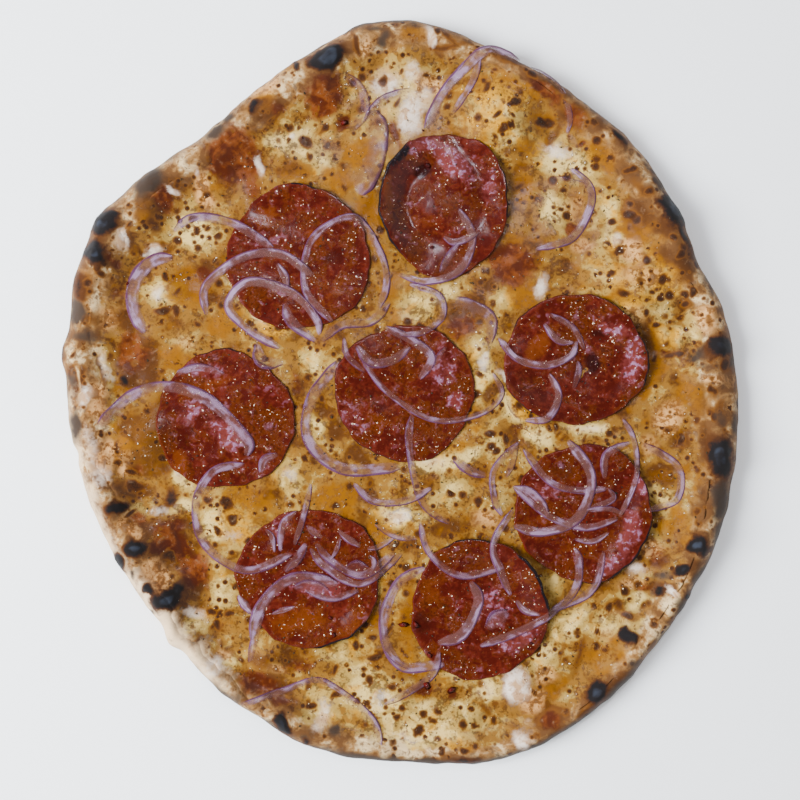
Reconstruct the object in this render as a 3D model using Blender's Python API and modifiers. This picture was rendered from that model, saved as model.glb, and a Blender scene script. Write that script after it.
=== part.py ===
"""A stone-baked chorizo pizza, whole and uncut, lying flat.

The pie is a dished sheet of dough with a puffed, uneven rim, a melted layer of sauce and cheese inside
the rim, eight thin slices of chorizo on the cheese, and strips of red onion over all of it.

The dough and the cheese are turned profiles, reshaped round the pie by functions of the angle.  Every
topping is a thin sheet that is let down onto what already lies below it, so that the slices rest on the
cheese and each strip of onion rests on the cheese, the slices and the strips that were laid before it.

Units are metres, with +Z up.  The origin is on the table, under the middle of the pie's outline.  Tables of
places and sizes are in millimetres and are scaled by MM where they are used.
"""

import math

import bmesh
import bpy
import numpy as np

COLLECTION_NAME = "chorizo_pizza"
MM = 0.001

# ---------------------------------------------------------------- driving sizes, in millimetres

BASE_THICKNESS = 4.0        # dough under the cheese
CHEESE_THICKNESS = 2.4      # melted cheese and sauce, away from its edge
CHEESE_EDGE = 0.9           # the same at the outer edge
CHORIZO_THICKNESS = 1.5
ONION_THICKNESS = 1.3
GAP = 0.3                   # left between pieces that rest on each other
MERGE_DISTANCE = 0.01       # points of a turned profile closer than this are one

SEGMENTS = 108              # faces round the pie
CHORIZO_SEGMENTS = 18       # faces round a slice
ONION_STEP = 4.4            # length of one face of a strip
ONION_MIN_STEPS = 3
ONION_TIP = 0.55            # width of a strip's tip, as a share of its full width
ONION_TAPER = 6.0           # length over which a strip narrows to its tip
LINE_SAMPLES = 24           # places worked out on a strip's line from one given point to the next

# The turned dough, before it is reshaped: its radius, where the flat base ends, and the rim's crest.
TURNED_RADIUS = 150.0
TURNED_FOOT = 121.0
TURNED_CREST = 12.0
CHEESE_REACH = 137.0        # turned radius at which the cheese ends, part of the way up the rim
DOUGH_TOP = ((0.0, 4.0), (30.0, 4.0), (58.0, 4.0), (80.0, 4.0), (97.0, 4.0), (110.0, 4.0), (TURNED_FOOT, 4.0),
             (129.0, 5.8), (CHEESE_REACH, 10.6), (142.0, TURNED_CREST))
DOUGH_SIDE = ((146.5, 10.3), (149.3, 7.2), (TURNED_RADIUS, 4.2), (148.0, 1.4),
              (142.0, 0.0), (80.0, 0.0), (0.0, 0.0))

# Round the pie, every 15 degrees anticlockwise from +X: outline radius, bare rim's width, crest height.
EDGE_STEP = 15.0
EDGE = ((146.0, 15.0, 12.0), (143.7, 9.5, 12.0), (141.7, 12.0, 15.0), (146.8, 12.0, 12.0),
        (148.9, 8.0, 12.0), (153.5, 6.5, 13.0), (160.6, 11.0, 13.0), (151.4, 13.0, 13.0),
        (142.4, 12.0, 11.5), (141.8, 12.0, 11.5), (149.8, 14.0, 14.0), (147.0, 13.0, 13.0),
        (143.3, 14.0, 12.5), (142.2, 11.0, 12.5), (141.3, 13.0, 16.0), (143.4, 9.0, 13.5),
        (150.5, 7.0, 11.5), (157.3, 9.0, 11.5), (159.3, 7.0, 11.0), (163.7, 6.5, 11.5),
        (161.7, 7.5, 12.0), (155.9, 9.0, 12.5), (151.9, 10.0, 14.0), (148.6, 14.0, 13.0))
RIM_WOBBLE = 0.7            # unevenness of the rim, out and up
RIM_WOBBLE_LENGTH = 21.0    # distance from one lump of it to the next
RIM_WOBBLE_SEED = 3
RIM_ONSET = 10.0            # distance beyond the foot over which the unevenness sets in
UNDERSIDE_RISE = 2.0        # the dough keeps its plain shape up to here, and follows the bubbles by twice it

# Nicks and blisters of the outline: angle in degrees, half width in degrees, how far it stands out.
NICKS = ((22.5, 5.0, -2.2), (32.0, 2.5, 1.6), (97.5, 4.0, 1.4), (127.5, 5.0, -1.3), (173.5, 3.0, 2.6),
         (191.0, 2.2, -1.4), (227.5, 2.0, 2.2), (247.0, 3.0, -1.0))

# Puffed bubbles in the dough, and sunk places: x, y, radius, height.
BUBBLES = ((43.0, 121.0, 25.0, 8.0), (100.0, 50.0, 27.0, 6.5), (-110.0, -20.0, 17.0, 4.5),
           (-103.0, -60.0, 19.0, 4.5), (-96.0, -86.0, 13.0, 4.0), (-108.0, 72.0, 12.0, 2.5),
           (-31.0, 126.0, 15.0, 2.5), (5.0, 141.0, 14.0, 2.5), (-56.0, -115.0, 12.0, 3.0),
           (-46.0, -139.0, 13.0, 2.0), (52.0, -128.0, 15.0, 3.0), (98.0, -105.0, 14.0, 2.5),
           (116.0, -76.0, 14.0, 2.5), (129.0, 8.0, 13.0, 2.5), (-93.0, 46.0, 12.0, -1.2),
           (-127.0, 73.0, 11.0, 2.5), (-129.0, 58.0, 11.0, 2.5), (-109.0, 90.0, 11.0, 2.0),
           (-31.0, 145.0, 12.0, 2.0), (116.0, 78.0, 12.0, 2.5), (138.0, 20.0, 11.0, 2.0),
           (137.0, -27.0, 12.0, 2.0), (127.0, -63.0, 10.0, 2.0), (84.0, -128.0, 10.0, 1.5),
           (-122.0, -49.0, 10.0, 2.0), (-119.0, -72.0, 10.0, 2.0), (30.0, -150.0, 14.0, 1.5))
CHEESE_LUMP = 0.7           # height of the cheese's small lumps
CHEESE_LUMP_LENGTH = 13.0   # distance from one lump to the next
CHEESE_LUMP_SEED = 11
CHEESE_TAPER = 14.0         # distance over which the cheese thins to its edge
NOISE_GRID = 64             # random heights along each side of the lumps' grid

# Slices of chorizo: x, y, half width, half height, then where the edge curls up, as
# (bearing in degrees, half width in degrees, lift).
CHORIZO = (
    (-43.5, 58.0, 31.0, 31.2, ((95.0, 45.0, 1.5), (200.0, 35.0, 1.0))),
    (19.2, 81.0, 27.8, 31.0, ((178.0, 58.0, 6.0), (8.0, 34.0, 3.0))),
    (75.5, 14.0, 31.0, 28.0, ((15.0, 42.0, 3.5), (222.0, 34.0, 2.5), (92.0, 30.0, 1.5))),
    (2.2, 0.0, 30.2, 29.5, ((140.0, 30.0, 1.0),)),
    (-75.0, -11.7, 29.7, 29.8, ((215.0, 40.0, 1.5),)),
    (-38.8, -79.8, 31.2, 29.8, ((300.0, 42.0, 2.5),)),
    (34.2, -93.5, 29.4, 30.5, ((22.0, 38.0, 5.0), (100.0, 34.0, 2.0))),
    (79.2, -51.7, 29.3, 29.8, ((345.0, 48.0, 3.5),)),
)
CHORIZO_RINGS = (0.0, 0.36, 0.66, 0.88, 1.0)    # rings of a slice, as shares of its radius
PLAIN_DISC = 10.0                               # radius of the disc that every slice is shaped from
CHORIZO_WAVES = ((3, 0.022), (5, 0.014))        # waves round its edge: count, share of its radius
CURL_START = 0.55                               # share of the radius at which an edge starts to curl
CHORIZO_DROOP = 0.5                             # how far one point may hang below its neighbours
ONION_DROOP = 1.6

# Strips of red onion, in the order in which they lie: width, then the points of the middle line.
ONION = (
    # over and beside the upper left slice
    (3.0, (-28.5, 30.0), (-40.5, 45.0), (-37.5, 66.0), (-20.0, 75.5), (-9.0, 62.0), (-5.5, 48.0),
     (-9.0, 36.0)),
    (3.5, (-34.0, 22.0), (-25.0, 29.0), (-12.0, 31.0), (-4.0, 39.5)),
    (3.5, (-97.5, 69.4), (-88.6, 75.6), (-72.0, 73.0), (-54.0, 62.0)),
    (3.5, (-83.3, 33.0), (-83.6, 45.7), (-68.2, 57.8), (-51.3, 59.6), (-36.8, 50.0)),
    (3.5, (-53.0, 56.0), (-49.4, 50.0), (-48.3, 44.6)),
    (3.5, (-51.3, 19.0), (-66.4, 28.2), (-73.8, 38.0), (-64.6, 47.5), (-47.0, 43.3), (-36.0, 32.0),
     (-34.5, 24.5)),
    (4.0, (-49.6, 39.0), (-46.5, 30.5), (-35.6, 22.0)),
    (5.0, (-61.6, 21.5), (-59.2, 13.6), (-49.5, 13.0)),
    # the upper middle slice and the cheese above it
    (3.0, (25.3, 79.3), (31.5, 66.7), (26.0, 52.8), (12.0, 48.0), (-0.7, 51.2)),
    (3.0, (18.6, 67.3), (24.5, 64.8), (35.0, 69.4)),
    (3.0, (34.6, 143.8), (31.0, 133.0), (22.6, 120.0)),
    (4.0, (11.0, 113.0), (20.0, 131.0), (36.8, 145.6), (51.8, 141.7)),
    (3.0, (5.5, 131.0), (-8.0, 126.0), (-15.4, 117.0)),
    (8.0, (-12.0, 122.0), (-9.5, 112.0), (-10.0, 102.0), (-17.5, 85.0)),
    # the cheese at the right and at the left
    (3.5, (73.3, 96.8), (82.0, 89.0), (82.0, 79.0), (74.0, 66.5), (58.3, 61.8)),
    (5.5, (-97.5, 58.3), (-105.5, 57.2), (-112.0, 51.5), (-115.0, 43.0), (-113.8, 33.5), (-109.5, 25.5)),
    # over and round the middle slice
    (2.4, (-17.0, 16.0), (-6.0, 1.0), (14.0, -11.5), (34.0, -9.5), (44.0, -1.0), (40.0, 9.0)),
    (4.0, (-18.6, 20.5), (-12.0, 13.0), (-3.0, 14.0), (4.9, 20.0)),
    (3.5, (-6.6, 28.4), (5.5, 22.4), (13.8, 15.0), (8.5, 5.5)),
    (2.6, (0.0, 25.0), (9.7, 26.0), (18.5, 33.0), (17.0, 42.0), (4.0, 47.0)),
    (4.5, (23.6, 41.0), (38.7, 33.0), (38.7, 20.0)),
    (4.5, (-26.0, 14.0), (-38.5, -4.0), (-39.0, -21.0), (-24.0, -33.0), (1.0, -32.0)),
    (3.0, (5.5, -9.0), (4.0, -20.0), (6.5, -37.0), (11.4, -49.5), (22.0, -56.7)),
    (3.0, (-20.0, -39.0), (-11.0, -46.8), (2.0, -46.8), (14.0, -41.0)),
    # the right-hand slice
    (3.0, (42.5, 24.0), (50.4, 14.8), (63.0, 11.8), (74.0, 16.0), (76.4, 22.7)),
    (3.0, (64.2, 8.5), (68.5, -1.0), (63.5, -11.0), (53.7, -12.0)),
    # the left-hand slice
    (4.5, (-129.0, -15.0), (-115.0, -1.0), (-99.3, 2.5), (-82.0, -3.5), (-66.0, -20.0), (-65.7, -27.7)),
    (3.0, (-96.6, 8.4), (-86.0, 10.8), (-75.0, 7.8)),
    (3.5, (-66.4, -30.7), (-80.0, -34.0), (-87.8, -48.0), (-83.5, -66.0), (-66.0, -76.5), (-46.0, -69.2)),
    # the lower left slice
    (2.6, (-38.1, -39.0), (-41.4, -53.4), (-45.4, -66.0)),
    (3.0, (-44.0, -50.8), (-50.3, -57.0), (-51.3, -68.6)),
    (3.0, (-38.7, -66.6), (-32.0, -75.0), (-16.4, -82.3), (1.4, -69.2)),
    (4.0, (-69.7, -87.0), (-67.7, -90.3), (-63.5, -95.5)),
    (3.0, (-57.8, -89.6), (-61.0, -100.0), (-64.7, -116.6)),
    (4.5, (-63.7, -106.7), (-59.8, -92.2), (-46.0, -80.0), (-26.2, -82.4)),
    # the lower middle slice
    (3.0, (8.7, -54.8), (13.0, -69.0), (26.5, -78.8), (45.0, -75.0)),
    (3.0, (49.5, -50.0), (40.3, -65.0), (43.6, -77.0), (48.0, -87.6)),
    (4.5, (30.5, -81.0), (34.0, -90.0), (27.0, -104.0), (16.0, -108.0)),
    (4.0, (11.3, -75.4), (-1.0, -83.0), (-7.0, -102.0), (1.0, -118.0), (20.0, -117.0)),
    (3.0, (17.3, -111.0), (13.0, -123.0), (-7.0, -134.7)),
    # the lower right slice
    (3.0, (53.3, -24.0), (64.3, -38.0), (76.0, -42.0), (89.6, -41.3)),
    (3.0, (49.0, -40.3), (64.0, -53.0), (80.0, -58.0), (94.4, -54.0)),
    (4.0, (72.5, -20.4), (82.5, -36.0), (77.0, -53.5), (62.2, -60.0), (49.0, -57.4)),
    (3.0, (88.2, -37.5), (89.0, -26.6), (99.9, -21.3)),
    (3.0, (104.6, -21.8), (119.7, -32.0), (119.0, -46.0), (106.0, -50.5)),
    (3.0, (52.0, -21.0), (41.0, -33.0), (41.0, -46.0), (44.4, -53.3)),
    (3.0, (34.4, -109.3), (54.0, -101.5), (74.0, -87.6), (77.3, -73.0), (75.2, -66.6)),
    (3.0, (63.0, -94.4), (82.0, -86.0), (88.0, -68.0)),
    # the lower edge
    (2.6, (-68.6, -133.7), (-50.0, -128.5), (-33.0, -124.5), (-12.4, -139.9), (-7.6, -153.6)),
)

# The map of heights on which toppings are laid, and how often a topping settles down onto it.
MAP_CELL = 1.0
MAP_HALF = 170
SETTLING_ROUNDS = 12
COVER_MARGIN = 0.3          # how far beyond its edge a piece counts for what is laid on it
REST_MARGIN = 0.6           # how far beyond its edge a topping looks for what it may touch
LEAST_SHARE = 0.04          # a corner isn't held up by a place that this small a share of it lies over
SLIVER_AREA = 1e-9          # a triangle smaller than this, in square millimetres, covers nothing

# Finishes: base colour, roughness, metallic
CRUST_SHARP = 60.0          # edges sharper than this, in degrees, aren't shaded smooth
TOPPING_SHARP = 50.0
FINISHES = {
    "crust": ((0.52, 0.30, 0.14), 0.75, 0.0),
    "cheese": ((0.70, 0.46, 0.18), 0.35, 0.0),
    "chorizo": ((0.22, 0.03, 0.012), 0.25, 0.0),
    "onion": ((0.55, 0.32, 0.36), 0.30, 0.0),
}


# ---------------------------------------------------------------- shape functions

def smooth_step(value):
    """Ease from 0 to 1 as value goes from 0 to 1."""
    value = np.clip(value, 0.0, 1.0)
    return value * value * (3.0 - 2.0 * value)


def round_the_pie(column, angle):
    """Read one column of EDGE at an angle in radians, on a closed cubic curve through its values."""
    values = np.array([row[column] for row in EDGE])
    place = np.degrees(angle) / EDGE_STEP
    index = np.floor(place).astype(int)
    share = place - index
    before, here, after, beyond = (values[(index + shift) % len(values)] for shift in (-1, 0, 1, 2))
    slope_here = (after - before) / 2.0
    slope_after = (beyond - here) / 2.0
    return ((2 * share**3 - 3 * share**2 + 1) * here + (share**3 - 2 * share**2 + share) * slope_here
            + (3 * share**2 - 2 * share**3) * after + (share**3 - share**2) * slope_after)


def soft_noise(x, y, length, seed):
    """Smooth lumps between -1 and 1, about length apart, from a seeded grid of random heights."""
    grid = np.random.default_rng(seed).uniform(-1.0, 1.0, (NOISE_GRID, NOISE_GRID))
    column, row = x / length, y / length
    column_index, row_index = np.floor(column).astype(int), np.floor(row).astype(int)
    across, along = smooth_step(column - column_index), smooth_step(row - row_index)

    def corner(step_x, step_y):
        return grid[(column_index + step_x) % NOISE_GRID, (row_index + step_y) % NOISE_GRID]

    low = corner(0, 0) * (1 - across) + corner(1, 0) * across
    high = corner(0, 1) * (1 - across) + corner(1, 1) * across
    return low * (1 - along) + high * along


def outline_radius(angle):
    """The pie's outer radius at an angle, with its nicks and blisters."""
    radius = round_the_pie(0, angle)
    for nick_angle, half_width, stand_out in NICKS:
        turn = (np.degrees(angle) - nick_angle + 180.0) % 360.0 - 180.0
        radius = radius + stand_out * np.exp(-(turn / half_width) ** 2)
    return radius


def bubble_height(x, y):
    """The height that the puffed bubbles add at a place."""
    height = np.zeros_like(x)
    for bubble_x, bubble_y, radius, rise in BUBBLES:
        share = np.hypot(x - bubble_x, y - bubble_y) / radius
        height += rise * (1.0 - smooth_step(share))
    return height


def shape_dough(turned):
    """Move points of the turned dough to the real, uneven one: the outline, the rim and its bubbles.

    A turned radius beyond the foot is measured in from the outline, so that the rim's width follows EDGE.
    A height above the base is stretched to the crest height of EDGE.
    """
    angle = np.arctan2(turned[:, 1], turned[:, 0]) % (2.0 * math.pi)
    reach = np.hypot(turned[:, 0], turned[:, 1])
    outline = outline_radius(angle)
    rim_scale = round_the_pie(1, angle) / (TURNED_RADIUS - CHEESE_REACH)
    foot = outline - (TURNED_RADIUS - TURNED_FOOT) * rim_scale
    on_rim = reach > TURNED_FOOT
    radius = np.where(on_rim, outline - (TURNED_RADIUS - reach) * rim_scale, reach / TURNED_FOOT * foot)
    rise = turned[:, 2] - BASE_THICKNESS
    crest_scale = (round_the_pie(2, angle) - BASE_THICKNESS) / (TURNED_CREST - BASE_THICKNESS)
    height = np.where(rise > 0.0, BASE_THICKNESS + rise * crest_scale, turned[:, 2])
    x, y = radius * np.cos(angle), radius * np.sin(angle)
    rim_share = smooth_step((reach - TURNED_FOOT) / RIM_ONSET)
    wobble = RIM_WOBBLE * soft_noise(x, y, RIM_WOBBLE_LENGTH, RIM_WOBBLE_SEED)
    upper_share = smooth_step((turned[:, 2] - UNDERSIDE_RISE) / UNDERSIDE_RISE)
    height += upper_share * (bubble_height(x, y) + rim_share * wobble)
    return np.column_stack((x, y, height))


def cheese_thickness(x, y, turned_radius):
    """The thickness of the cheese: lumpy, and thin at its edge on the rim."""
    body = CHEESE_THICKNESS + CHEESE_LUMP * soft_noise(x, y, CHEESE_LUMP_LENGTH, CHEESE_LUMP_SEED)
    inside = smooth_step((CHEESE_REACH - turned_radius) / CHEESE_TAPER)
    return CHEESE_EDGE + (body - CHEESE_EDGE) * inside


def smooth_line(points, step):
    """Points a step apart along a smooth curve through a few points, and the curve's length."""
    knots = np.array(points, dtype=float)
    padded = np.vstack((2 * knots[0] - knots[1], knots, 2 * knots[-1] - knots[-2]))
    share = np.linspace(0.0, 1.0, LINE_SAMPLES, endpoint=False)[:, None]
    pieces = []
    for before, here, after, beyond in zip(padded, padded[1:], padded[2:], padded[3:]):
        pieces.append(0.5 * (2 * here + (after - before) * share
                             + (2 * before - 5 * here + 4 * after - beyond) * share**2
                             + (3 * here - before - 3 * after + beyond) * share**3))
    curve = np.vstack(pieces + [knots[-1:]])
    travelled = np.concatenate(([0.0], np.cumsum(np.hypot(*np.diff(curve, axis=0).T))))
    count = max(ONION_MIN_STEPS, round(travelled[-1] / step))
    stops = np.linspace(0.0, travelled[-1], count + 1)
    line = np.column_stack([np.interp(stops, travelled, curve[:, axis]) for axis in range(2)])
    return line, travelled[-1]


# ---------------------------------------------------------------- Blender helpers

def clear_scene():
    """Remove every object that a new scene starts with."""
    for existing in list(bpy.data.objects):
        bpy.data.objects.remove(existing, do_unlink=True)


def make_material(name):
    """A plain Principled material from FINISHES."""
    color, roughness, metallic = FINISHES[name]
    material = bpy.data.materials.new(name)
    material.use_nodes = True
    shader = material.node_tree.nodes["Principled BSDF"]
    shader.inputs["Base Color"].default_value = (*color, 1.0)
    shader.inputs["Roughness"].default_value = roughness
    shader.inputs["Metallic"].default_value = metallic
    return material


def add_object(name, mesh, collection, material):
    """Put a mesh into the pizza's collection as a named object."""
    mesh.materials.clear()
    mesh.materials.append(material)
    piece = bpy.data.objects.new(name, mesh)
    collection.objects.link(piece)
    return piece


def evaluated_mesh(piece):
    """A new mesh of an object as its modifiers leave it."""
    bpy.context.view_layer.update()
    graph = bpy.context.evaluated_depsgraph_get()
    return bpy.data.meshes.new_from_object(piece.evaluated_get(graph))


def turned_mesh(name, profile, segments):
    """Turn a profile, given in millimetres as (radius, height), once round Z with a Screw modifier."""
    line = bpy.data.meshes.new(name + "_profile")
    points = [(radius * MM, 0.0, height * MM) for radius, height in profile]
    line.from_pydata(points, [(index, index + 1) for index in range(len(points) - 1)], [])
    guide = bpy.data.objects.new(name + "_profile", line)
    bpy.context.scene.collection.objects.link(guide)
    screw = guide.modifiers.new("turn", "SCREW")
    screw.axis = "Z"
    screw.steps = segments
    screw.render_steps = segments
    screw.use_merge_vertices = True
    screw.merge_threshold = MERGE_DISTANCE * MM
    mesh = evaluated_mesh(guide)
    mesh.name = name
    bpy.data.objects.remove(guide, do_unlink=True)
    bpy.data.meshes.remove(line)
    return mesh


def read_points(mesh):
    """The places of a mesh's vertices, in millimetres, as one row each."""
    flat = np.empty(len(mesh.vertices) * 3)
    mesh.vertices.foreach_get("co", flat)
    return flat.reshape(-1, 3) / MM


def write_points(mesh, points):
    """Move a mesh's vertices to places given in millimetres."""
    mesh.vertices.foreach_set("co", (points * MM).ravel())
    mesh.update()


def split_quads(mesh, method="FIXED"):
    """Split every face into triangles, always the same way, and return them as rows of vertex numbers."""
    work = bmesh.new()
    work.from_mesh(mesh)
    bmesh.ops.triangulate(work, faces=work.faces[:], quad_method=method)
    work.to_mesh(mesh)
    work.free()
    return np.array([polygon.vertices[:] for polygon in mesh.polygons])


def cells_in_triangle(corners, margin):
    """Map cells under a triangle: their columns and rows, and each cell's shares of the three corners."""
    low = np.floor((corners[:, :2].min(axis=0) - margin) / MAP_CELL).astype(int)
    high = np.ceil((corners[:, :2].max(axis=0) + margin) / MAP_CELL).astype(int)
    columns, rows = np.meshgrid(np.arange(low[0], high[0] + 1), np.arange(low[1], high[1] + 1), indexing="ij")
    columns, rows = columns.ravel(), rows.ravel()
    first, second, third = corners[:, :2]
    across, along = second - first, third - first
    area = across[0] * along[1] - across[1] * along[0]
    if abs(area) < SLIVER_AREA:
        return columns[:0], rows[:0], np.empty((0, 3))
    offset = np.column_stack((columns, rows)) * MAP_CELL - first
    share_second = (offset[:, 0] * along[1] - offset[:, 1] * along[0]) / area
    share_third = (across[0] * offset[:, 1] - across[1] * offset[:, 0]) / area
    shares = np.column_stack((1.0 - share_second - share_third, share_second, share_third))
    inside = shares.min(axis=1) > -margin / math.sqrt(abs(area))
    return columns[inside], rows[inside], shares[inside]


class HeightMap:
    """The height of whatever lies uppermost, on a square grid over the pie."""

    def __init__(self):
        """Start with a bare table at height 0."""
        self.heights = np.zeros((2 * MAP_HALF + 1, 2 * MAP_HALF + 1))

    def cover(self, piece):
        """Raise the map to the top of a finished piece."""
        mesh = evaluated_mesh(piece)
        mesh.calc_loop_triangles()
        points = read_points(mesh)
        for triangle in mesh.loop_triangles:
            corners = points[list(triangle.vertices)]
            columns, rows, shares = cells_in_triangle(corners, COVER_MARGIN)
            np.maximum.at(self.heights, (columns + MAP_HALF, rows + MAP_HALF), shares @ corners[:, 2])
        bpy.data.meshes.remove(mesh)

    def widened(self):
        """The map with each cell raised to its highest neighbour, so that a sheet clears every edge."""
        wide = self.heights.copy()
        for step_x in (-1, 0, 1):
            for step_y in (-1, 0, 1):
                wide = np.maximum(wide, np.roll(self.heights, (step_x, step_y), axis=(0, 1)))
        return wide

    def settle(self, points, triangles, droop):
        """Heights at which a flat sheet of triangles comes to rest just above the map.

        The sheet starts above everything under it.  Then each corner in turn sinks until one of the
        triangles round it touches, or until it hangs droop below the mean of its neighbours.
        """
        wide = self.widened() + GAP
        touching = [[] for _ in points]
        neighbours = [set() for _ in points]
        heights = np.zeros(len(points))
        for triangle in triangles:
            columns, rows, shares = cells_in_triangle(points[triangle], REST_MARGIN)
            ground = wide[columns + MAP_HALF, rows + MAP_HALF]
            for place, corner in enumerate(triangle):
                others = [triangle[place - 2], triangle[place - 1]]
                near = shares[:, place] > LEAST_SHARE
                other_shares = shares[near][:, [place - 2, place - 1]]
                touching[corner].append((ground[near], shares[near, place], other_shares, others))
                neighbours[corner].update(int(other) for other in others)
                if len(ground):
                    heights[corner] = max(heights[corner], ground.max())
        for _ in range(SETTLING_ROUNDS):
            for corner, contacts in enumerate(touching):
                lowest = np.mean(heights[list(neighbours[corner])]) - droop
                for ground, own_share, other_shares, others in contacts:
                    if len(ground):
                        lowest = max(lowest, ((ground - other_shares @ heights[others]) / own_share).max())
                heights[corner] = min(heights[corner], lowest)
        return heights


def smooth_shade(mesh, sharp_degrees):
    """Shade a mesh smooth, but for edges sharper than an angle."""
    mesh.shade_smooth()
    mesh.set_sharp_from_angle(angle=math.radians(sharp_degrees))


# ---------------------------------------------------------------- the pieces

def make_crust(collection, material):
    """The dough: a turned section with a thin base and a rounded rim, reshaped round the pie."""
    mesh = turned_mesh("crust", DOUGH_TOP + DOUGH_SIDE, SEGMENTS)
    write_points(mesh, shape_dough(read_points(mesh)))
    split_quads(mesh, "SHORT_EDGE")
    smooth_shade(mesh, CRUST_SHARP)
    return add_object("crust", mesh, collection, material)


def make_cheese(collection, material):
    """The melted layer: its underside follows the dough, its top is lumpy, and its edge lies on the rim."""
    underside = [point for point in DOUGH_TOP if point[0] <= CHEESE_REACH]
    top = [(radius, height + CHEESE_THICKNESS) for radius, height in underside]
    mesh = turned_mesh("cheese", top + underside[::-1], SEGMENTS)
    turned = read_points(mesh)
    reach = np.hypot(turned[:, 0], turned[:, 1])
    dough_height = np.interp(reach, *zip(*underside))
    on_top = turned[:, 2] - dough_height > CHEESE_THICKNESS / 2.0
    turned[:, 2] = dough_height
    points = shape_dough(turned)
    points[:, 2] += GAP + on_top * cheese_thickness(points[:, 0], points[:, 1], reach)
    write_points(mesh, points)
    split_quads(mesh, "SHORT_EDGE")
    smooth_shade(mesh, CRUST_SHARP)
    return add_object("cheese", mesh, collection, material)


def give_thickness(piece, thickness):
    """Thicken an open sheet upwards with a Solidify modifier."""
    solidify = piece.modifiers.new("thickness", "SOLIDIFY")
    solidify.thickness = thickness * MM
    solidify.offset = 1.0


def curl_of_edge(share, bearing, curls):
    """How far the edge of a slice lifts: nothing inside CURL_START, most on each curl's bearing."""
    lift = np.zeros_like(share)
    outward = smooth_step((share - CURL_START) / (1.0 - CURL_START))
    for curl_bearing, half_width, rise in curls:
        turn = (np.degrees(bearing) - curl_bearing + 180.0) % 360.0 - 180.0
        lift += rise * outward * np.exp(-(turn / half_width) ** 2)
    return lift


def make_chorizo(number, sizes, height_map, collection, material):
    """One slice: a wavy disc laid on the cheese, with its edge curled up here and there."""
    centre_x, centre_y, half_width, half_height, curls = sizes
    name = f"chorizo_{number}"
    mesh = turned_mesh(name, [(share * PLAIN_DISC, 0.0) for share in CHORIZO_RINGS], CHORIZO_SEGMENTS)
    disc = read_points(mesh)
    share = np.hypot(disc[:, 0], disc[:, 1]) / PLAIN_DISC
    bearing = np.arctan2(disc[:, 1], disc[:, 0])
    wave = 1.0 + sum(size * np.sin(count * bearing + number * count) for count, size in CHORIZO_WAVES)
    points = np.column_stack((centre_x + half_width * share * wave * np.cos(bearing),
                              centre_y + half_height * share * wave * np.sin(bearing),
                              np.zeros_like(share)))
    triangles = split_quads(mesh)
    points[:, 2] = height_map.settle(points, triangles, CHORIZO_DROOP)
    points[:, 2] += curl_of_edge(share, bearing, curls)
    write_points(mesh, points)
    smooth_shade(mesh, TOPPING_SHARP)
    piece = add_object(name, mesh, collection, material)
    give_thickness(piece, CHORIZO_THICKNESS)
    return piece


def make_onion(number, sizes, height_map, collection, material):
    """One strip: a narrow sheet along a smooth line, tapered at both tips and laid on what is below it."""
    width, *line_points = sizes
    line, length = smooth_line(line_points, ONION_STEP)
    count = len(line) - 1
    name = f"onion_{number:02d}"
    mesh = bpy.data.meshes.new(name)
    work = bmesh.new()
    bmesh.ops.create_grid(work, x_segments=count, y_segments=1, size=0.5)
    work.to_mesh(mesh)
    work.free()
    grid = read_points(mesh) * MM
    place = np.rint((grid[:, 0] + 0.5) * count).astype(int)
    heading = np.gradient(line, axis=0)
    heading /= np.hypot(heading[:, 0], heading[:, 1])[:, None]
    travelled = np.linspace(0.0, length, count + 1)
    to_tip = np.minimum(travelled, length - travelled)
    widths = width * (ONION_TIP + (1.0 - ONION_TIP) * np.clip(to_tip / ONION_TAPER, 0.0, 1.0))
    sideways = np.column_stack((-heading[:, 1], heading[:, 0])) * widths[:, None]
    points = np.zeros_like(grid)
    points[:, :2] = line[place] + sideways[place] * grid[:, 1:2]
    triangles = split_quads(mesh)
    points[:, 2] = height_map.settle(points, triangles, ONION_DROOP)
    write_points(mesh, points)
    smooth_shade(mesh, TOPPING_SHARP)
    piece = add_object(name, mesh, collection, material)
    give_thickness(piece, ONION_THICKNESS)
    return piece


def build_pizza():
    """Make every piece of the pizza, from the dough up."""
    clear_scene()
    collection = bpy.data.collections.new(COLLECTION_NAME)
    bpy.context.scene.collection.children.link(collection)
    materials = {name: make_material(name) for name in FINISHES}
    height_map = HeightMap()
    height_map.cover(make_crust(collection, materials["crust"]))
    height_map.cover(make_cheese(collection, materials["cheese"]))
    for number, sizes in enumerate(CHORIZO, start=1):
        height_map.cover(make_chorizo(number, sizes, height_map, collection, materials["chorizo"]))
    for number, sizes in enumerate(ONION, start=1):
        height_map.cover(make_onion(number, sizes, height_map, collection, materials["onion"]))


build_pizza()
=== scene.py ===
"""The looks of a stone-baked chorizo pizza, whole and uncut, lying flat.

The dough, the melted cheese, eight slices of chorizo and the strips of red onion are modelled afresh as
fine surfaces, each in the place of its solid in the frame.  What the oven and the oil did to the pie
(charred blisters, toasted spots, pools of sauce, white cheese, flour) is painted as soft patches on layers.
The materials read each layer as an attribute of the mesh, and some layers raise or sink the surface too.

Lengths are in millimetres up to the moment when a mesh is written, and are then scaled by MM.
"""

import logging
import math
from collections.abc import Callable, Sequence
from dataclasses import dataclass, field
from enum import Enum, IntEnum
from functools import cached_property
from types import SimpleNamespace

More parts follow.
